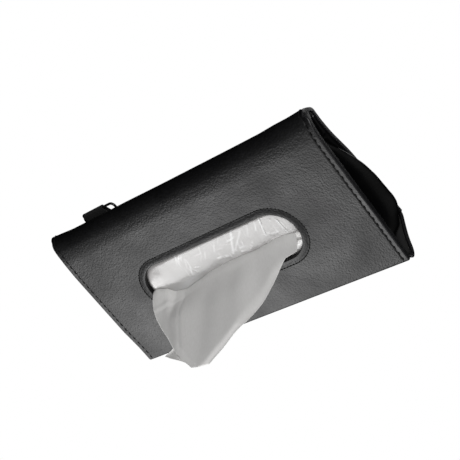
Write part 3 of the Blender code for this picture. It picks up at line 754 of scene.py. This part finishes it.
pack_half = 94 * MM
pack_low, pack_high = slot_from_lip - front_flat - 6 * MM, slot_from_lip - 15.5 * MM
pack_near = wrap_thickness + seat_gap
pack_far_clear = pack_near / math.cos(wedge_angle)


def fullness(x, y, inset=0.0):
    """How full the pack is at a place, from its flat rim to its middle."""
    along = min(1.0, abs(x) / (pack_half - inset))
    middle = (pack_low + pack_high) / 2
    across = min(1.0, abs(y - middle) / ((pack_high - pack_low) / 2 - inset))
    return max(math.sqrt(max((1 - across**7) * (1 - along**7), 0)), 0.08)


# Thin ridges of the film round the slot: both ends, half width and rise, in mm. They crowd where the
# film was gathered, and the left of it is smooth.
creases = [
    (-26, -17, -30, -12, 0.7, 1.0), (-24.5, -16.5, -28.5, -11, 0.6, 0.8), (-25, -5, -28.5, 1.5, 0.7, 0.9),
    (-23.5, -3, -18.5, -1.5, 0.7, 1.0), (-25, -1.5, -22, 2, 0.6, 0.7), (12, -10, 20, -11.5, 0.9, 1.0),
    (21, -16.5, 10.5, 0, 1.3, 0.9), (27, -13.5, 13, -1.5, 1.0, 0.7), (23, -6.5, 21.5, -3, 0.7, 0.7),
    (18, -2.5, 25, -1.5, 0.7, 0.9), (16.5, 0.5, 23, 2, 0.7, 0.9), (30, -3.5, 23, 3, 0.8, 0.6),
    (45, -17.5, 41, -3, 0.8, 1.3), (50, -12, 52.5, -11, 0.6, 0.7), (55, -10.5, 56, 2, 0.8, 1.2),
    (52.5, -2.5, 44.5, -2, 0.6, 0.5), (-3, -2, 1.5, -2.5, 0.6, 0.9), (1.5, -2.5, 3, 0, 0.6, 0.8),
    (3, 0, 8.5, -1.5, 0.6, 0.9), (8.5, -1.5, 8, 2, 0.6, 0.7), (52.5, 14.5, 61, 11, 0.9, 1.2),
    (49, 15, 54, 14, 0.7, 1.0), (-7, -10.5, -11, -4.5, 0.7, 0.6), (-8, -16.5, -11, -10, 0.8, 0.5),
    (34.5, -15.5, 29, -7, 0.9, 0.5), (40.5, -16, 37, -8, 0.8, 0.5), (4, -14, -1, -7, 0.8, 0.4),
]
shuffle = np.random.default_rng(11)
for _ in range(34):
    turn = math.radians(shuffle.choice([105, 120, 128, 88, 14]) + shuffle.uniform(-14, 14))
    cx, cy, reach = shuffle.uniform(-33, 62), shuffle.uniform(-17, 2), shuffle.uniform(1.5, 5)
    dx, dy = reach * math.cos(turn), reach * math.sin(turn)
    width, rise = shuffle.uniform(0.5, 1.0), shuffle.uniform(0.15, 0.45)
    creases.append((cx - dx, cy - dy, cx + dx, cy + dy, width, rise))


def pack_depths(x, y, inset=0.0):
    """Depths of the pack's two faces at a place, or of the faces an inset within them."""
    near, far = pack_near + inset, back_depth(y) - pack_far_clear - inset
    middle, full = (near + far) / 2, fullness(x, y, inset)
    return middle - (middle - near) * full, middle + (far - middle) * full


def line_near(x, y, xa, ya, xb, yb):
    """A line's length, and how far along it and off it a place lies."""
    long = math.hypot(xb - xa, yb - ya)
    along = ((x - xa) * (xb - xa) + (y - ya) * (yb - ya)) / long
    return long, along, abs((x - xa) * (yb - ya) - (y - ya) * (xb - xa)) / long


def ridge(x, y):
    """How strongly a ridge of the film stands up at a place round the slot, in mm."""
    height = 0.0
    for *ends, width, rise in creases:
        long, along, off = line_near(x, y, *ends)
        if -width < along < long + width and off < width:
            height += rise * (1 - off / width) * min(1.0, (along + width) / 2, (long + width - along) / 2)
    return height


# Where the pulled sheet turns down over the slit's lip, in mm
fold_line = np.array(
    [(-66, 0.5), (-61, 0.8), (-53.5, 3.6), (-50, 8.3), (-40.7, 10.0), (-29, 7.9), (-15, 5.5), (-2, 4.2)]
    + [(15, 3.7), (27, 4.2), (42.7, 2.4), (52.4, 2.2), (61.4, 4.1)]
)


def slit_shift(x):
    """How far the sheet draws the slit's lip from its straight line, in mm."""
    return np.interp(x, *fold_line.T) - 0.1


def crinkle(x, y):
    """Height of the film's creases round the slot, in metres: short straight ridges and dents."""
    x, y = x / MM, y / MM
    middle = min(max(x, -47.5), 47.5)
    low_corner = 0.45 * max(0.0, y - 2) * ramp(abs(x), 44, 56)
    seen = 1 - ramp(math.hypot(x - middle, y) + low_corner, 15.6, 18.4)
    height = 0.16 * ridge(x, y)
    height += 0.10 * noise.noise(Vector((x / 7, y / 7, 1.0)))
    height += 0.08 * abs(noise.noise(Vector((x / 3.1, y / 4.4, 5.0))))
    height += 1.7 * hump(math.hypot((x + 54) / 1.3, y + 3), 0, 13)
    return (height + 0.6) * MM * seen


def make_film():
    """The soft pack's film, with its slit and the crinkles that show through the slot."""
    skin = bmesh.new()
    window_half = 66 * MM
    xs = pieces_between(
        (-pack_half, 1.2 * MM), (-88 * MM, 2.2 * MM), (-window_half, 0.55 * MM),
        (window_half, 2.2 * MM), (88 * MM, 1.2 * MM), (pack_half, 1),
    )
    ys = pieces_between(
        (pack_low, 0.7 * MM), (pack_low + 5 * MM, 2 * MM), (-22 * MM, 0.6 * MM), (22 * MM, 1.5 * MM),
        (pack_high - 4 * MM, 0.7 * MM), (pack_high, 1),
    )
    slit_y, slit_half, slit_radius = 3 * MM, 60 * MM, 3.4 * MM

    def near_place(x, y):
        shift = slit_shift(x / MM) * (1 - ramp(abs(y - slit_y), 4 * MM, 24 * MM)) * MM
        return front_place(x, y + shift, pack_depths(x, y)[0] - crinkle(x, y + shift))

    window = (-window_half, window_half, slit_y - 9 * MM, slit_y + 9 * MM)
    near, hole = pierced_grid(skin, xs, ys, window, slit_half, slit_radius, (0.0, slit_y), 5, near_place)
    lip = [vert.co + into_pouch * 0.7 * MM + along_front * out[1] * 0.4 * MM for vert, at, out in hole]
    bridge(skin, [vert for vert, at, out in hole], [skin.verts.new(at) for at in lip])
    far = laid(skin, xs, ys, lambda x, y: front_place(x, y, pack_depths(x, y)[1]))
    bridge(skin, *(rim_of(grid, len(ys), len(xs)) for grid in (near, far)))
    # The ridge attribute paints highlights into the film's colour: brighter along the ridges of its creases
    layer = skin.verts.layers.float.new("ridge")
    for vert in skin.verts:
        away = vert.co - front_place(0, 0)
        if away.dot(into_pouch) < pack_near + 1 * MM:
            x, y = away.x / MM, away.dot(along_front) / MM
            # By the left of the slit the film's colour is painted lighter, against the shade the hanging
            # sheet casts there
            painted_lightening = 0.75 * hump(x, -37, 15) * ramp(y - slit_shift(x), -9, -2)
            vert[layer] = ridge(x, y) + painted_lightening
    made = finished("refill_pack_film", skin, (pack_film,), "pouch", ("refill_film",), 24)


def make_stack():
    """The folded tissues inside the pack, each a thin sheet closed round its rim."""
    skin = bmesh.new()
    sheets, inset = 11, 1.2 * MM
    xs = pieces_between(
        (-pack_half + inset, 1.5 * MM), (-86 * MM, 7 * MM), (86 * MM, 1.5 * MM), (pack_half - inset, 1)
    )
    ys = pieces_between(
        (pack_low + inset, 0.8 * MM), (pack_low + 6 * MM, 5 * MM), (pack_high - 5 * MM, 0.8 * MM),
        (pack_high - inset, 1),
    )
    shift = np.random.default_rng(5).uniform(-0.7, 0.0, (sheets, 2))
    for sheet in range(sheets):
        rims = []
        for share in (sheet / sheets, (sheet + 0.86) / sheets):

            def place(x, y):
                low, high = pack_depths(x, y, inset)
                return front_place(x * (1 + shift[sheet][0] * 0.006), y, low + (high - low) * share)

            rims.append(rim_of(laid(skin, xs, ys, place), len(ys), len(xs)))
        bridge(skin, *rims)
    finished("tissue_layers", skin, (creped_paper,), "pouch", ("tissue_stack",), 60)


hang_lean = math.radians(19.25) + wedge_angle
hang = Vector((0, math.sin(hang_lean), -math.cos(hang_lean)))
push = Vector((0, math.cos(hang_lean), math.sin(hang_lean)))
# Drop below the front and the sheet's left and right edges from the slot's centre, in mm
tissue_edges = np.array(
    [(0, -62.5, 60.0), (1.3, -64.0, 60.6), (5.4, -65.2, 61.6), (11, -65.7, 62.2), (15.2, -65.2, 62.2)]
    + [(16.8, -64.6, 53.9), (22.7, -62.0, 48.6), (29.5, -57.6, 43.2), (38.9, -51.0, 34.4)]
    + [(49.8, -43.6, 20.6), (61.1, -35.4, 1.3), (69.0, -27.6, -12.6)]
)
# The second ply, a little behind the first, with one corner that stands out at the left
ply_edges = np.array(
    [(0, -61.5, 58.0), (15, -64.0, 59.0), (17, -63.6, 52.0), (30, -56.4, 38.5), (50, -42.9, 15.0)]
    + [(50.8, -45.5, 14.0), (52.1, -53.4, 12.0), (56.2, -47.5, 5.0), (60.0, -40.3, -2.0)]
    + [(64.5, -31.5, -10.0)]
)
# Soft waves across the sheet: rise in mm, middle and width in cm
tissue_waves = (
    (1.5, -5.9, 0.9), (-1.7, -4.1, 0.7), (1.2, -1.6, 1.7), (-1.3, 0.9, 1.5), (1.1, 3.6, 1.2),
    (-1.0, 5.4, 0.8),
)
# Sharp creases: both ends by X and drop, half width and rise, in mm
tissue_creases = (
    (-45, 7, -62, 14.6, 1.6, -1.1), (-46, 11, -60, 17, 1.4, 0.7), (-41.5, 9, -38, 50, 2.2, 0.8)
)
# Where the sheet comes up to the slit, in mm
slit_line = np.array([(x, slit_shift(x) - 1.2) for x in range(-60, 61, 5)])


def film_depth(x, y):
    """Depth of the film's face at a place round the slot, in mm."""
    return (pack_near - crinkle(x * MM, y * MM)) / MM


def tissue_place(share, step, edges, behind):
    """A place on a ply of the pulled tissue, a distance behind the first ply. step runs from -2 in
    the stack, through -1 at the slit and 0 at the turn, to 1 at the tip."""
    drop = max(0.0, step) * edges[-1, 0]
    left, right = (np.interp(drop, edges[:, 0], edges[:, k]) for k in (1, 2))
    x = left + (right - left) * share
    turn_y = np.interp(x, *fold_line.T)
    if step <= 0:
        x += (-57 + 114 * share - x) * min(1.0, -step)
        slit_y = np.interp(x, *slit_line.T)
        if step <= -1:
            inside = -1 - step
            return Vector((x, slit_y - 0.5 * inside, film_depth(x, slit_y) + 0.3 + 5.0 * inside + behind))
        y = turn_y - (slit_y - turn_y) * step
        return Vector((x, y, film_depth(x, y) + 0.9 + 0.6 * step + behind))
    depth = film_depth(x, turn_y) + 0.9 - 1.05 * ramp(drop, 0, 8)
    y = turn_y + (2.0 - turn_y) * ramp(drop, 0, 30)
    swing = ramp(drop, 0.5, 26) * (1 - 0.3 * step)
    across = x / 10
    wave = sum(rise * hump(across, middle, width) for rise, middle, width in tissue_waves)
    wave += 0.35 * math.sin(across * 2.6 + 1.2 * step)
    # The left edge is turned back as a small ear, with a crease that runs down to it
    ear = 2.2 * (1 - ramp(x - left, 0, 5 + 5 * (1 - step))) * ramp(drop, 2, 9)
    crease = 0.0
    for *ends, width, rise in tissue_creases:
        long, along, off = line_near(x, drop, *ends)
        if off < width:
            crease += rise * (1 - off / width) ** 2 * hump(along, long / 2, long / 2 + 3)
    tuck = -1.1 * hump(drop, 2.8, 2.7) * (0.45 + 0.55 * ramp(-x, 10, 36))
    flat = push * (swing * wave * 1.5 + behind - ear * 0.5 + crease + tuck)
    curl = 2.1 * ramp(x - right, -15, 0) ** 2 * ramp(drop, 16, 28)
    return Vector((x - 0.9 * curl, y, depth)) + hang * drop + flat + push * curl


def make_tissue(name, edges, behind):
    """One ply of the first tissue: up out of the pack's slit, over its lip and down in soft folds."""
    skin = bmesh.new()
    across = 96
    steps = pieces_between((-2.0, 0.12), (-1.0, 0.08), (0.0, 0.018), (0.3, 0.03), (0.7, 0.0125), (1.0, 1))
    shares = [j / (across - 1) for j in range(across)]
    rows = np.array([[tissue_place(share, step, edges, behind) for share in shares] for step in steps])
    # The turn is a soft round bend
    near_turn = hump(np.array(steps), 0.0, 0.06)[1:-1, None, None]
    for _ in range(2):
        rows[1:-1] += 0.5 * near_turn * ((rows[:-2] + rows[2:]) / 2 - rows[1:-1])
    weave(skin, [[skin.verts.new(front_place(*(Vector(at) * MM))) for at in row] for row in rows])
    area = sum(face.calc_area() for face in skin.faces)
    made = finished(name, skin, (creped_paper,), None, ("tissue_sheet",), 80, 0.2 * MM)
    start = front_place(0, 0, 5 * MM)
    end = front_place(0, 2 * MM, 0) + (into_pouch * hang.z + along_front * hang.y) * 7 * MM
    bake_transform(made, "pouch", "pulled_tissue", start, end)


# The rings' wire and reach, and the round that leather or strap makes about a bar with a little room
wire, ring_reach = 0.9 * MM, 10.4 * MM
held = wire + seat_gap
held_y, held_z = 4.2 * MM - mount_from_spine, seat_gap + leather + held


def tape(name, outline, faces, centre, half, finish, steps, corner, node, body="pouch"):
    """A flat strip along an outline, between two distances to its left, with soft edges. Its UV map
    holds the length along it and the way across, in metres. Its ends may have round corners."""
    skin = bmesh.new()
    uv_of = {}
    near, far = faces
    thick = far - near
    bulge = min(thick * 0.45, 0.4 * MM)
    count = 14
    flat = [-half + bulge + (2 * half - 2 * bulge) * k / count for k in range(count + 1)]
    turns = [math.pi * k / 4 for k in range(1, 4)]
    rounds = [(bulge * math.sin(turn), near + thick * (1 - math.cos(turn)) / 2) for turn in turns]
    profile = [(x, near) for x in flat] + [(half - bulge + out, left) for out, left in rounds]
    profile += [(x, far) for x in reversed(flat)]
    profile += [(-half + bulge - out, left) for out, left in reversed(rounds)]
    loops = []
    for s in steps:
        from_end = min(s - steps[0], steps[-1] - s, corner)
        inset = corner - math.sqrt(corner**2 - (corner - from_end) ** 2)
        scale = (half - inset) / half
        loops.append([skin.verts.new((centre + x * scale, *outline.at(s, left))) for x, left in profile])
        uv_of.update((vert, (s, x * scale)) for vert, (x, left) in zip(loops[-1], profile))
    weave(skin, loops, closed=True)
    for loop in (loops[0], loops[-1]):
        for k in range(count):
            skin.faces.new((loop[k], loop[k + 1], loop[2 * count + 3 - k], loop[2 * count + 4 - k]))
        skin.faces.new(loop[count : count + 5])
        skin.faces.new([loop[0], *loop[: 2 * count + 3 : -1]])
    layer = skin.loops.layers.uv.new("tape")
    for face in skin.faces:
        for corner_of in face.loops:
            corner_of[layer].uv = uv_of[corner_of.vert]
    return finished(name, skin, (finish,), body, (node,), 50)


def stitch_tree():
    """Geometry Nodes: lock stitches along the lines of a mesh. Each is one short length of thread
    that dips into the leather at both ends."""
    tree = bpy.data.node_groups.new("lock_stitches", "GeometryNodeTree")
    sizes = [("Pitch", "Float"), ("Stitch Length", "Float"), ("Thread Thickness", "Float")]
    for name, kind in (("Geometry", "Geometry"), *sizes, ("Finish", "Material")):
        tree.interface.new_socket(name=name, in_out="INPUT", socket_type=f"NodeSocket{kind}")
    tree.interface.new_socket(name="Geometry", in_out="OUTPUT", socket_type="NodeSocketGeometry")
    given = add(tree, "NodeGroupInput")
    line = add(tree, "GeometryNodeMeshToCurve", {"Mesh": given["Geometry"]})["Curve"]
    spacing = {"Curve": line, "Length": given["Pitch"]}
    points = add(tree, "GeometryNodeResampleCurve", spacing, mode="LENGTH")["Curve"]
    shares = [("Stitch Length", 0.5), ("Stitch Length", -0.5)]
    shares += [("Thread Thickness", -0.6), ("Thread Thickness", 0.5)]
    front, back, dip, half_thread = (
        add(tree, "ShaderNodeMath", {0: given[size], 1: share}, operation="MULTIPLY")[0]
        for size, share in shares
    )
    start = add(tree, "ShaderNodeCombineXYZ", {"X": back, "Z": dip})[0]
    rise = add(tree, "ShaderNodeCombineXYZ", {"Z": given["Thread Thickness"]})[0]
    stop = add(tree, "ShaderNodeCombineXYZ", {"X": front, "Z": dip})[0]
    bend = {"Resolution": 6, "Start": start, "Middle": rise, "End": stop}
    bow = add(tree, "GeometryNodeCurveQuadraticBezier", bend)["Curve"]
    circle = add(tree, "GeometryNodeCurvePrimitiveCircle", {"Resolution": 6, "Radius": half_thread})["Curve"]
    swept = {"Curve": bow, "Profile Curve": circle, "Fill Caps": True}
    stitch = add(tree, "GeometryNodeCurveToMesh", swept)["Mesh"]
    outward = add(tree, "GeometryNodeInputNamedAttribute", {"Name": "outward"}, data_type="FLOAT_VECTOR")
    along = add(tree, "GeometryNodeInputTangent")[0]
    axes = {"Primary Axis": outward["Attribute"], "Secondary Axis": along}
    turned = add(tree, "FunctionNodeAxesToRotation", axes, primary_axis="Z", secondary_axis="X")["Rotation"]
    copies = {"Points": points, "Instance": stitch, "Rotation": turned}
    copies = add(tree, "GeometryNodeInstanceOnPoints", copies)["Instances"]
    real = add(tree, "GeometryNodeRealizeInstances", {"Geometry": copies})["Geometry"]
    soft = add(tree, "GeometryNodeSetShadeSmooth", {"Geometry": real})["Geometry"]
    coloured = add(tree, "GeometryNodeSetMaterial", {"Geometry": soft, "Material": given["Finish"]})
    add(tree, "NodeGroupOutput", {"Geometry": coloured["Geometry"]})
    return tree


lock_stitches = stitch_tree()


# Pitch, length and thickness of the stitches
end_stitch = (4.8 * MM, 2.9 * MM, 0.85 * MM)
slot_stitch = (2.5 * MM, 1.15 * MM, 0.75 * MM)
strap_stitch = (2.6 * MM, 1.8 * MM, 0.45 * MM)


def stitches(name, lines, sizes, body):
    """Stitches of given sizes along lines. A line is (places, ways out of the surface, closed)."""
    mesh = bpy.data.meshes.new(name)
    places, outward, edges = [], [], []
    for points, ways, closed in lines:
        first = len(places)
        places += points
        outward += ways
        edges += [(first + k, first + k + 1) for k in range(len(points) - 1)]
        if closed:
            edges.append((len(places) - 1, first))
    mesh.from_pydata(places, edges, [])
    layer = mesh.attributes.new("outward", "FLOAT_VECTOR", "POINT")
    layer.data.foreach_set("vector", np.array(outward, np.float32).ravel())
    source = linked(f"{name}_lines", mesh)
    modifier = source.modifiers.new("stitches", "NODES")
    modifier.node_group = lock_stitches
    values = dict(zip(("Pitch", "Stitch Length", "Thread Thickness", "Finish"), (*sizes, thread)))
    for item in lock_stitches.interface.items_tree:
        if item.in_out == "INPUT" and item.name in values:
            modifier[item.identifier] = values[item.name]
    made = linked(name, baked(source))
    made.data.name = name
    bpy.data.objects.remove(source, do_unlink=True)
    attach(made, body)


def make_stitching():
    """Stitch lines along both ends of the wrap and the closing wall, and round the slot."""

    def seam(place, x, rows):
        ways = [(place(x, s, 0.0) - place(x, s, 1 * MM)).normalized() for s in rows]
        return [place(x, s, 0.16 * MM) for s in rows], ways, False

    wrap_rows = pieces_between(
        (3 * MM, 1.5 * MM), (s_spine, 0.6 * MM), (s_front, 1.5 * MM), (s_lip - 1.5 * MM, 1)
    )
    wall_rows = pieces_between((hem_length + 3 * MM, 1 * MM), (wall_end, 1))
    for name, place, rows, body in (
        ("end_stitching", wrap_place, wrap_rows, "pouch"),
        ("lip_stitching", closure_place, wall_rows, "closing_lip"),
    ):
        lines = [seam(place, side * (half_length - stitch_inset), rows) for side in (-1, 1)]
        stitches(name, lines, end_stitch, body)
    places = [wrap_place(x, s, 0.04 * MM) for x, s in round_slot(5.15 * MM)]
    line = (places, [-into_pouch] * len(places), True)
    stitches("slot_stitching", [line], slot_stitch, "pouch")


def level_seam(name, height, *lines):
    """Stitches along lines on a level face. A line is closed if it has more than two places."""
    seams = []
    for line in lines:
        places = [Vector((x, y, height)) for x, y in line]
        seams.append((places, [Vector((0, 0, 1))] * len(line), len(line) > 2))
    stitches(name, seams, strap_stitch, "pouch")


def make_ring(word, centre, ring_angle):
    """A wire ring with round corners, held by its lower bar, that leans by an angle."""
    skin = bmesh.new()
    corner = 3.2 * MM
    half = (31.8 * MM - 2 * wire) / 2 - corner
    low, high = corner, ring_reach - corner
    outline = []
    for cx, cy, quarter in ((half, high, 0), (-half, high, 1), (-half, low, 2), (half, low, 3)):
        for k in range(11):
            turn = math.pi / 2 * (quarter + k / 10)
            outline.append((cx + corner * math.cos(turn), cy + corner * math.sin(turn)))
    tilt = Matrix.Rotation(math.pi - ring_angle, 3, "X")
    turns = [2 * math.pi * part / 16 for part in range(16)]
    loops = []
    for k, (x, y) in enumerate(outline):
        (xa, ya), (xb, yb) = outline[k - 1], outline[(k + 1) % len(outline)]
        out = Vector((yb - ya, xa - xb, 0)).normalized()
        offsets = [out * math.cos(turn) + Vector((0, 0, 1)) * math.sin(turn) for turn in turns]
        places = [tilt @ (Vector((x, y, 0)) + offset * wire) for offset in offsets]
        loops.append([skin.verts.new(at + Vector((centre, held_y, held_z))) for at in places])
    weave(skin, loops, closed=True, ring=True)
    finished(f"wire_ring_{word}", skin, (coated_wire,), "pouch", (f"strap_ring_{word}",), 60)


def make_strap(word, side, ring_angle, approach, slack):
    """One visor strap with its tab, ring, sewn end, pads and the free end that folds back."""
    ring_from_end, strap_outward = 42.5 * MM, 3.9 * MM
    strap_length, thickness, half = 170 * MM, 0.7 * MM, 9.9 * MM
    tab_length, pad_length, patch_length = 14 * MM, 22 * MM, 14 * MM
    centre = side * (half_length - ring_from_end)
    strap_x = centre + side * strap_outward

    # Tab: lower layer on the back, round the held bar, upper layer on the lower one
    slope = math.radians(25)
    drop = 2 * held - seat_gap
    slope_run = (drop - 2 * held * (1 - math.cos(slope))) / math.sin(slope)
    tab = Outline(held_y + tab_length, held_z - held, math.pi).run(tab_length)
    tab.arc(held, -(math.pi + slope)).run(slope_run).arc(held, slope)
    tab.run(tab_length - slope_run * math.cos(slope) - held * 2 * math.sin(slope))
    steps = pieces_between(
        (0.0, 0.25 * MM), (2 * MM, 1.5 * MM), (tab_length, 0.3 * MM), (26 * MM, 0.25 * MM), (tab.length, 1)
    )
    loop = tape(
        f"ring_loop_{word}", tab, (0, leather), centre, 9 * MM, satin_leather, steps, 1.2 * MM,
        f"ring_tab_{word}",
    )
    y0, y1 = held_y + 4.6 * MM, held_y + 12.6 * MM
    reach = 7.2 * MM
    square = [(centre - reach, y0), (centre - reach, y1), (centre + reach, y1), (centre + reach, y0)]
    loop_top = max(vert.co.z for vert in loop.data.vertices if vert.co.y > y0)
    level_seam(f"ring_loop_stitching_{word}", loop_top - 0.05 * MM, square)
    make_ring(word, centre, ring_angle)

    # Strap: sewn end, up into the arch, down to the ring's free bar and round it
    wrap_y = held_y - ring_reach * math.cos(ring_angle) + held * math.sin(approach)
    wrap_z = held_z + ring_reach * math.sin(ring_angle) - held * math.cos(approach)
    sewn, bend, rising, arch = 16 * MM, 10 * MM, math.radians(50), 16 * MM
    low = seat_gap + thickness
    rise = (arch - low - 2 * bend * (1 - math.cos(rising))) / math.sin(rising)
    steep = approach + slack
    fall = (arch - wrap_z - bend * (1 + math.cos(approach) - 2 * math.cos(steep))) / math.sin(approach)
    start_y = fold_y - seat_gap - 6 * MM
    level = start_y - wrap_y - sewn - rise * math.cos(rising) - fall * math.cos(approach)
    level -= bend * (2 * math.sin(rising) + 2 * math.sin(steep) - math.sin(approach))
    strap = Outline(start_y, low, math.pi).run(sewn).arc(bend, -rising).run(rise).arc(bend, rising)
    level_start = strap.length
    strap.run(level).arc(bend, steep)
    if slack:
        strap.arc(bend, -slack)
    strap.run(fall)
    standing = strap.length
    strap.arc(held, -math.pi)
    tape(
        f"elastic_strap_{word}", strap, (0, thickness), strap_x, half, elastic_tape,
        pieces_between((0.0, 1.2 * MM), (standing, 0.3 * MM), (strap.length, 1)), 0.0,
        f"visor_strap_{word}",
    )

    # Free end: back over the arch, held off the strap by the wire's width
    over = 2 * held
    free = strap_length - strap.length
    upper = tape(
        f"elastic_free_end_{word}", strap, (-over - thickness, -over), strap_x, half, elastic_tape,
        pieces_between((standing - free, 1.0 * MM), (standing - seat_gap, 1)), 2.0 * MM,
        f"strap_end_{word}", None,
    )
    ends = ((strap_x, *strap.at(s, -over)) for s in (standing, standing - 9 * MM))
    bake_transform(upper, "pouch", f"strap_end_{word}", *ends)

    # Hook and loop pads between the two layers
    pad = (over - 3 * seat_gap) / 2
    steps = pieces_between((level_start + seat_gap, 0.5 * MM), (level_start + pad_length, 1))
    for kind, near, body in (("loop", seat_gap, "pouch"), ("hook", 2 * seat_gap + pad, f"strap_end_{word}")):
        tape(
            f"{kind}_tape_{word}", strap, (-near - pad, -near), strap_x, 8 * MM, fastener_tape, steps,
            1.5 * MM, f"strap_{kind}_pad_{word}", body,
        )

    # Leather patch sewn over the strap's end with a crossed square
    patch_z = low + seat_gap
    patch = Outline(start_y - 1 * MM, patch_z, math.pi).run(patch_length)
    steps = pieces_between((0.0, 0.25 * MM), (2 * MM, 2 * MM), (12 * MM, 0.25 * MM), (patch_length, 1))
    tape(
        f"sewn_patch_{word}", patch, (-leather, 0), strap_x, 13 * MM, satin_leather, steps, 1.6 * MM,
        f"strap_patch_{word}",
    )
    y0, y1 = start_y - 13.4 * MM, start_y - 2.6 * MM
    xa, xb = strap_x - 11 * MM, strap_x + 11 * MM
    square = [(xa, y0), (xb, y0), (xb, y1), (xa, y1)]
    cross = []
    for (xa, ya), (xb, yb) in zip(square, square[2:]):
        cross.append([(xa + (xb - xa) * t, ya + (yb - ya) * t) for t in (0.08, 0.92)])
    level_seam(f"patch_stitching_{word}", patch_z + leather - 0.05 * MM, square, *cross)


make_pouch_leather()
make_pouch_lining()
make_back_stiffener()
make_slot_rim()
make_closure()
make_bellows("left", -1)
make_bellows("right", 1)
make_film()
make_stack()
make_tissue("pulled_tissue_sheet", tissue_edges, 0.0)
make_tissue("pulled_tissue_ply", ply_edges, 0.75)
make_stitching()
make_strap("left", -1, math.radians(9), math.radians(17), math.radians(43))
make_strap("right", 1, math.radians(105), math.radians(15), 0.0)

magnets = [f"{place}_magnet_{side}" for place in ("front", "closure") for side in ("left", "right")]
for nodes, finish in ((("front_board", "closure_board", "hem_board"), chipboard), (magnets, nickel)):
    for node in nodes:
        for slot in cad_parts[node].material_slots:
            slot.material = finish


def make_floor():
    """A pale floor far below the holder."""
    skin = bmesh.new()
    reach = 3.0
    corners = [(-reach, -reach), (reach, -reach), (reach, reach), (-reach, reach)]
    skin.faces.new([skin.verts.new((x, y, -0.9)) for x, y in corners])
    matt = grained_finish("matt_floor", "dcdcda", "e4e4e2", 40 * MM, 0.1 * MM, {"Roughness": 0.9})
    finished("pale_floor", skin, (matt,))


def softbox(name, place, target, size, power):
    """A large soft light that faces a target."""
    light = bpy.data.lights.new(name, "AREA")
    light.shape = "RECTANGLE"
    light.size, light.size_y = size
    light.energy = power
    made = linked(name, light)
    made.location = place
    made.rotation_euler = (Vector(target) - Vector(place)).to_track_quat("-Z", "Y").to_euler()


def make_world():
    """White for the camera and dim grey for the light, as a product shot cut out on white."""
    world = bpy.data.worlds.new("studio")
    bpy.context.scene.world = world
    world.use_nodes = True
    tree = world.node_tree
    tree.nodes.clear()
    seen = add(tree, "ShaderNodeBackground", {"Color": srgb("ffffff"), "Strength": 1.0})[0]
    lit = add(tree, "ShaderNodeBackground", {"Color": srgb("ffffff"), "Strength": 0.009})[0]
    ray = add(tree, "ShaderNodeLightPath")["Is Camera Ray"]
    mixed = add(tree, "ShaderNodeMixShader", {"Fac": ray, 1: lit, 2: seen})[0]
    add(tree, "ShaderNodeOutputWorld", {"Surface": mixed})


make_floor()
make_world()
slot_middle = front_place(0, 0)
softbox("front_softbox", (-0.46, 0.31, -0.58), slot_middle, (0.52, 0.52), 6.1)
softbox("tissue_softbox", (0.52, -0.50, -0.42), slot_middle, (0.35, 0.35), 3.2)
softbox("top_softbox", (0.35, -0.05, 0.9), (0, 0, 0), (0.8, 0.8), 3.5)

camera = bpy.data.cameras.new("photo_camera")
# Solved from the perspective of the pouch's edges
camera.lens = 84.26
camera.sensor_width = 36
camera.clip_start = 0.01
eye = linked("photo_camera", camera)
right = Vector((0.74338, 0.63151, 0.22041))
up = Vector((0.33956, -0.64021, 0.68908))
back = right.cross(up)
turned = Matrix((right, up, back)).transposed().to_4x4()
eye.matrix_world = Matrix.Translation((0.42309, -0.31062, -0.50255)) @ turned
bpy.context.scene.camera = eye
bpy.context.scene.view_settings.view_transform = "Standard"
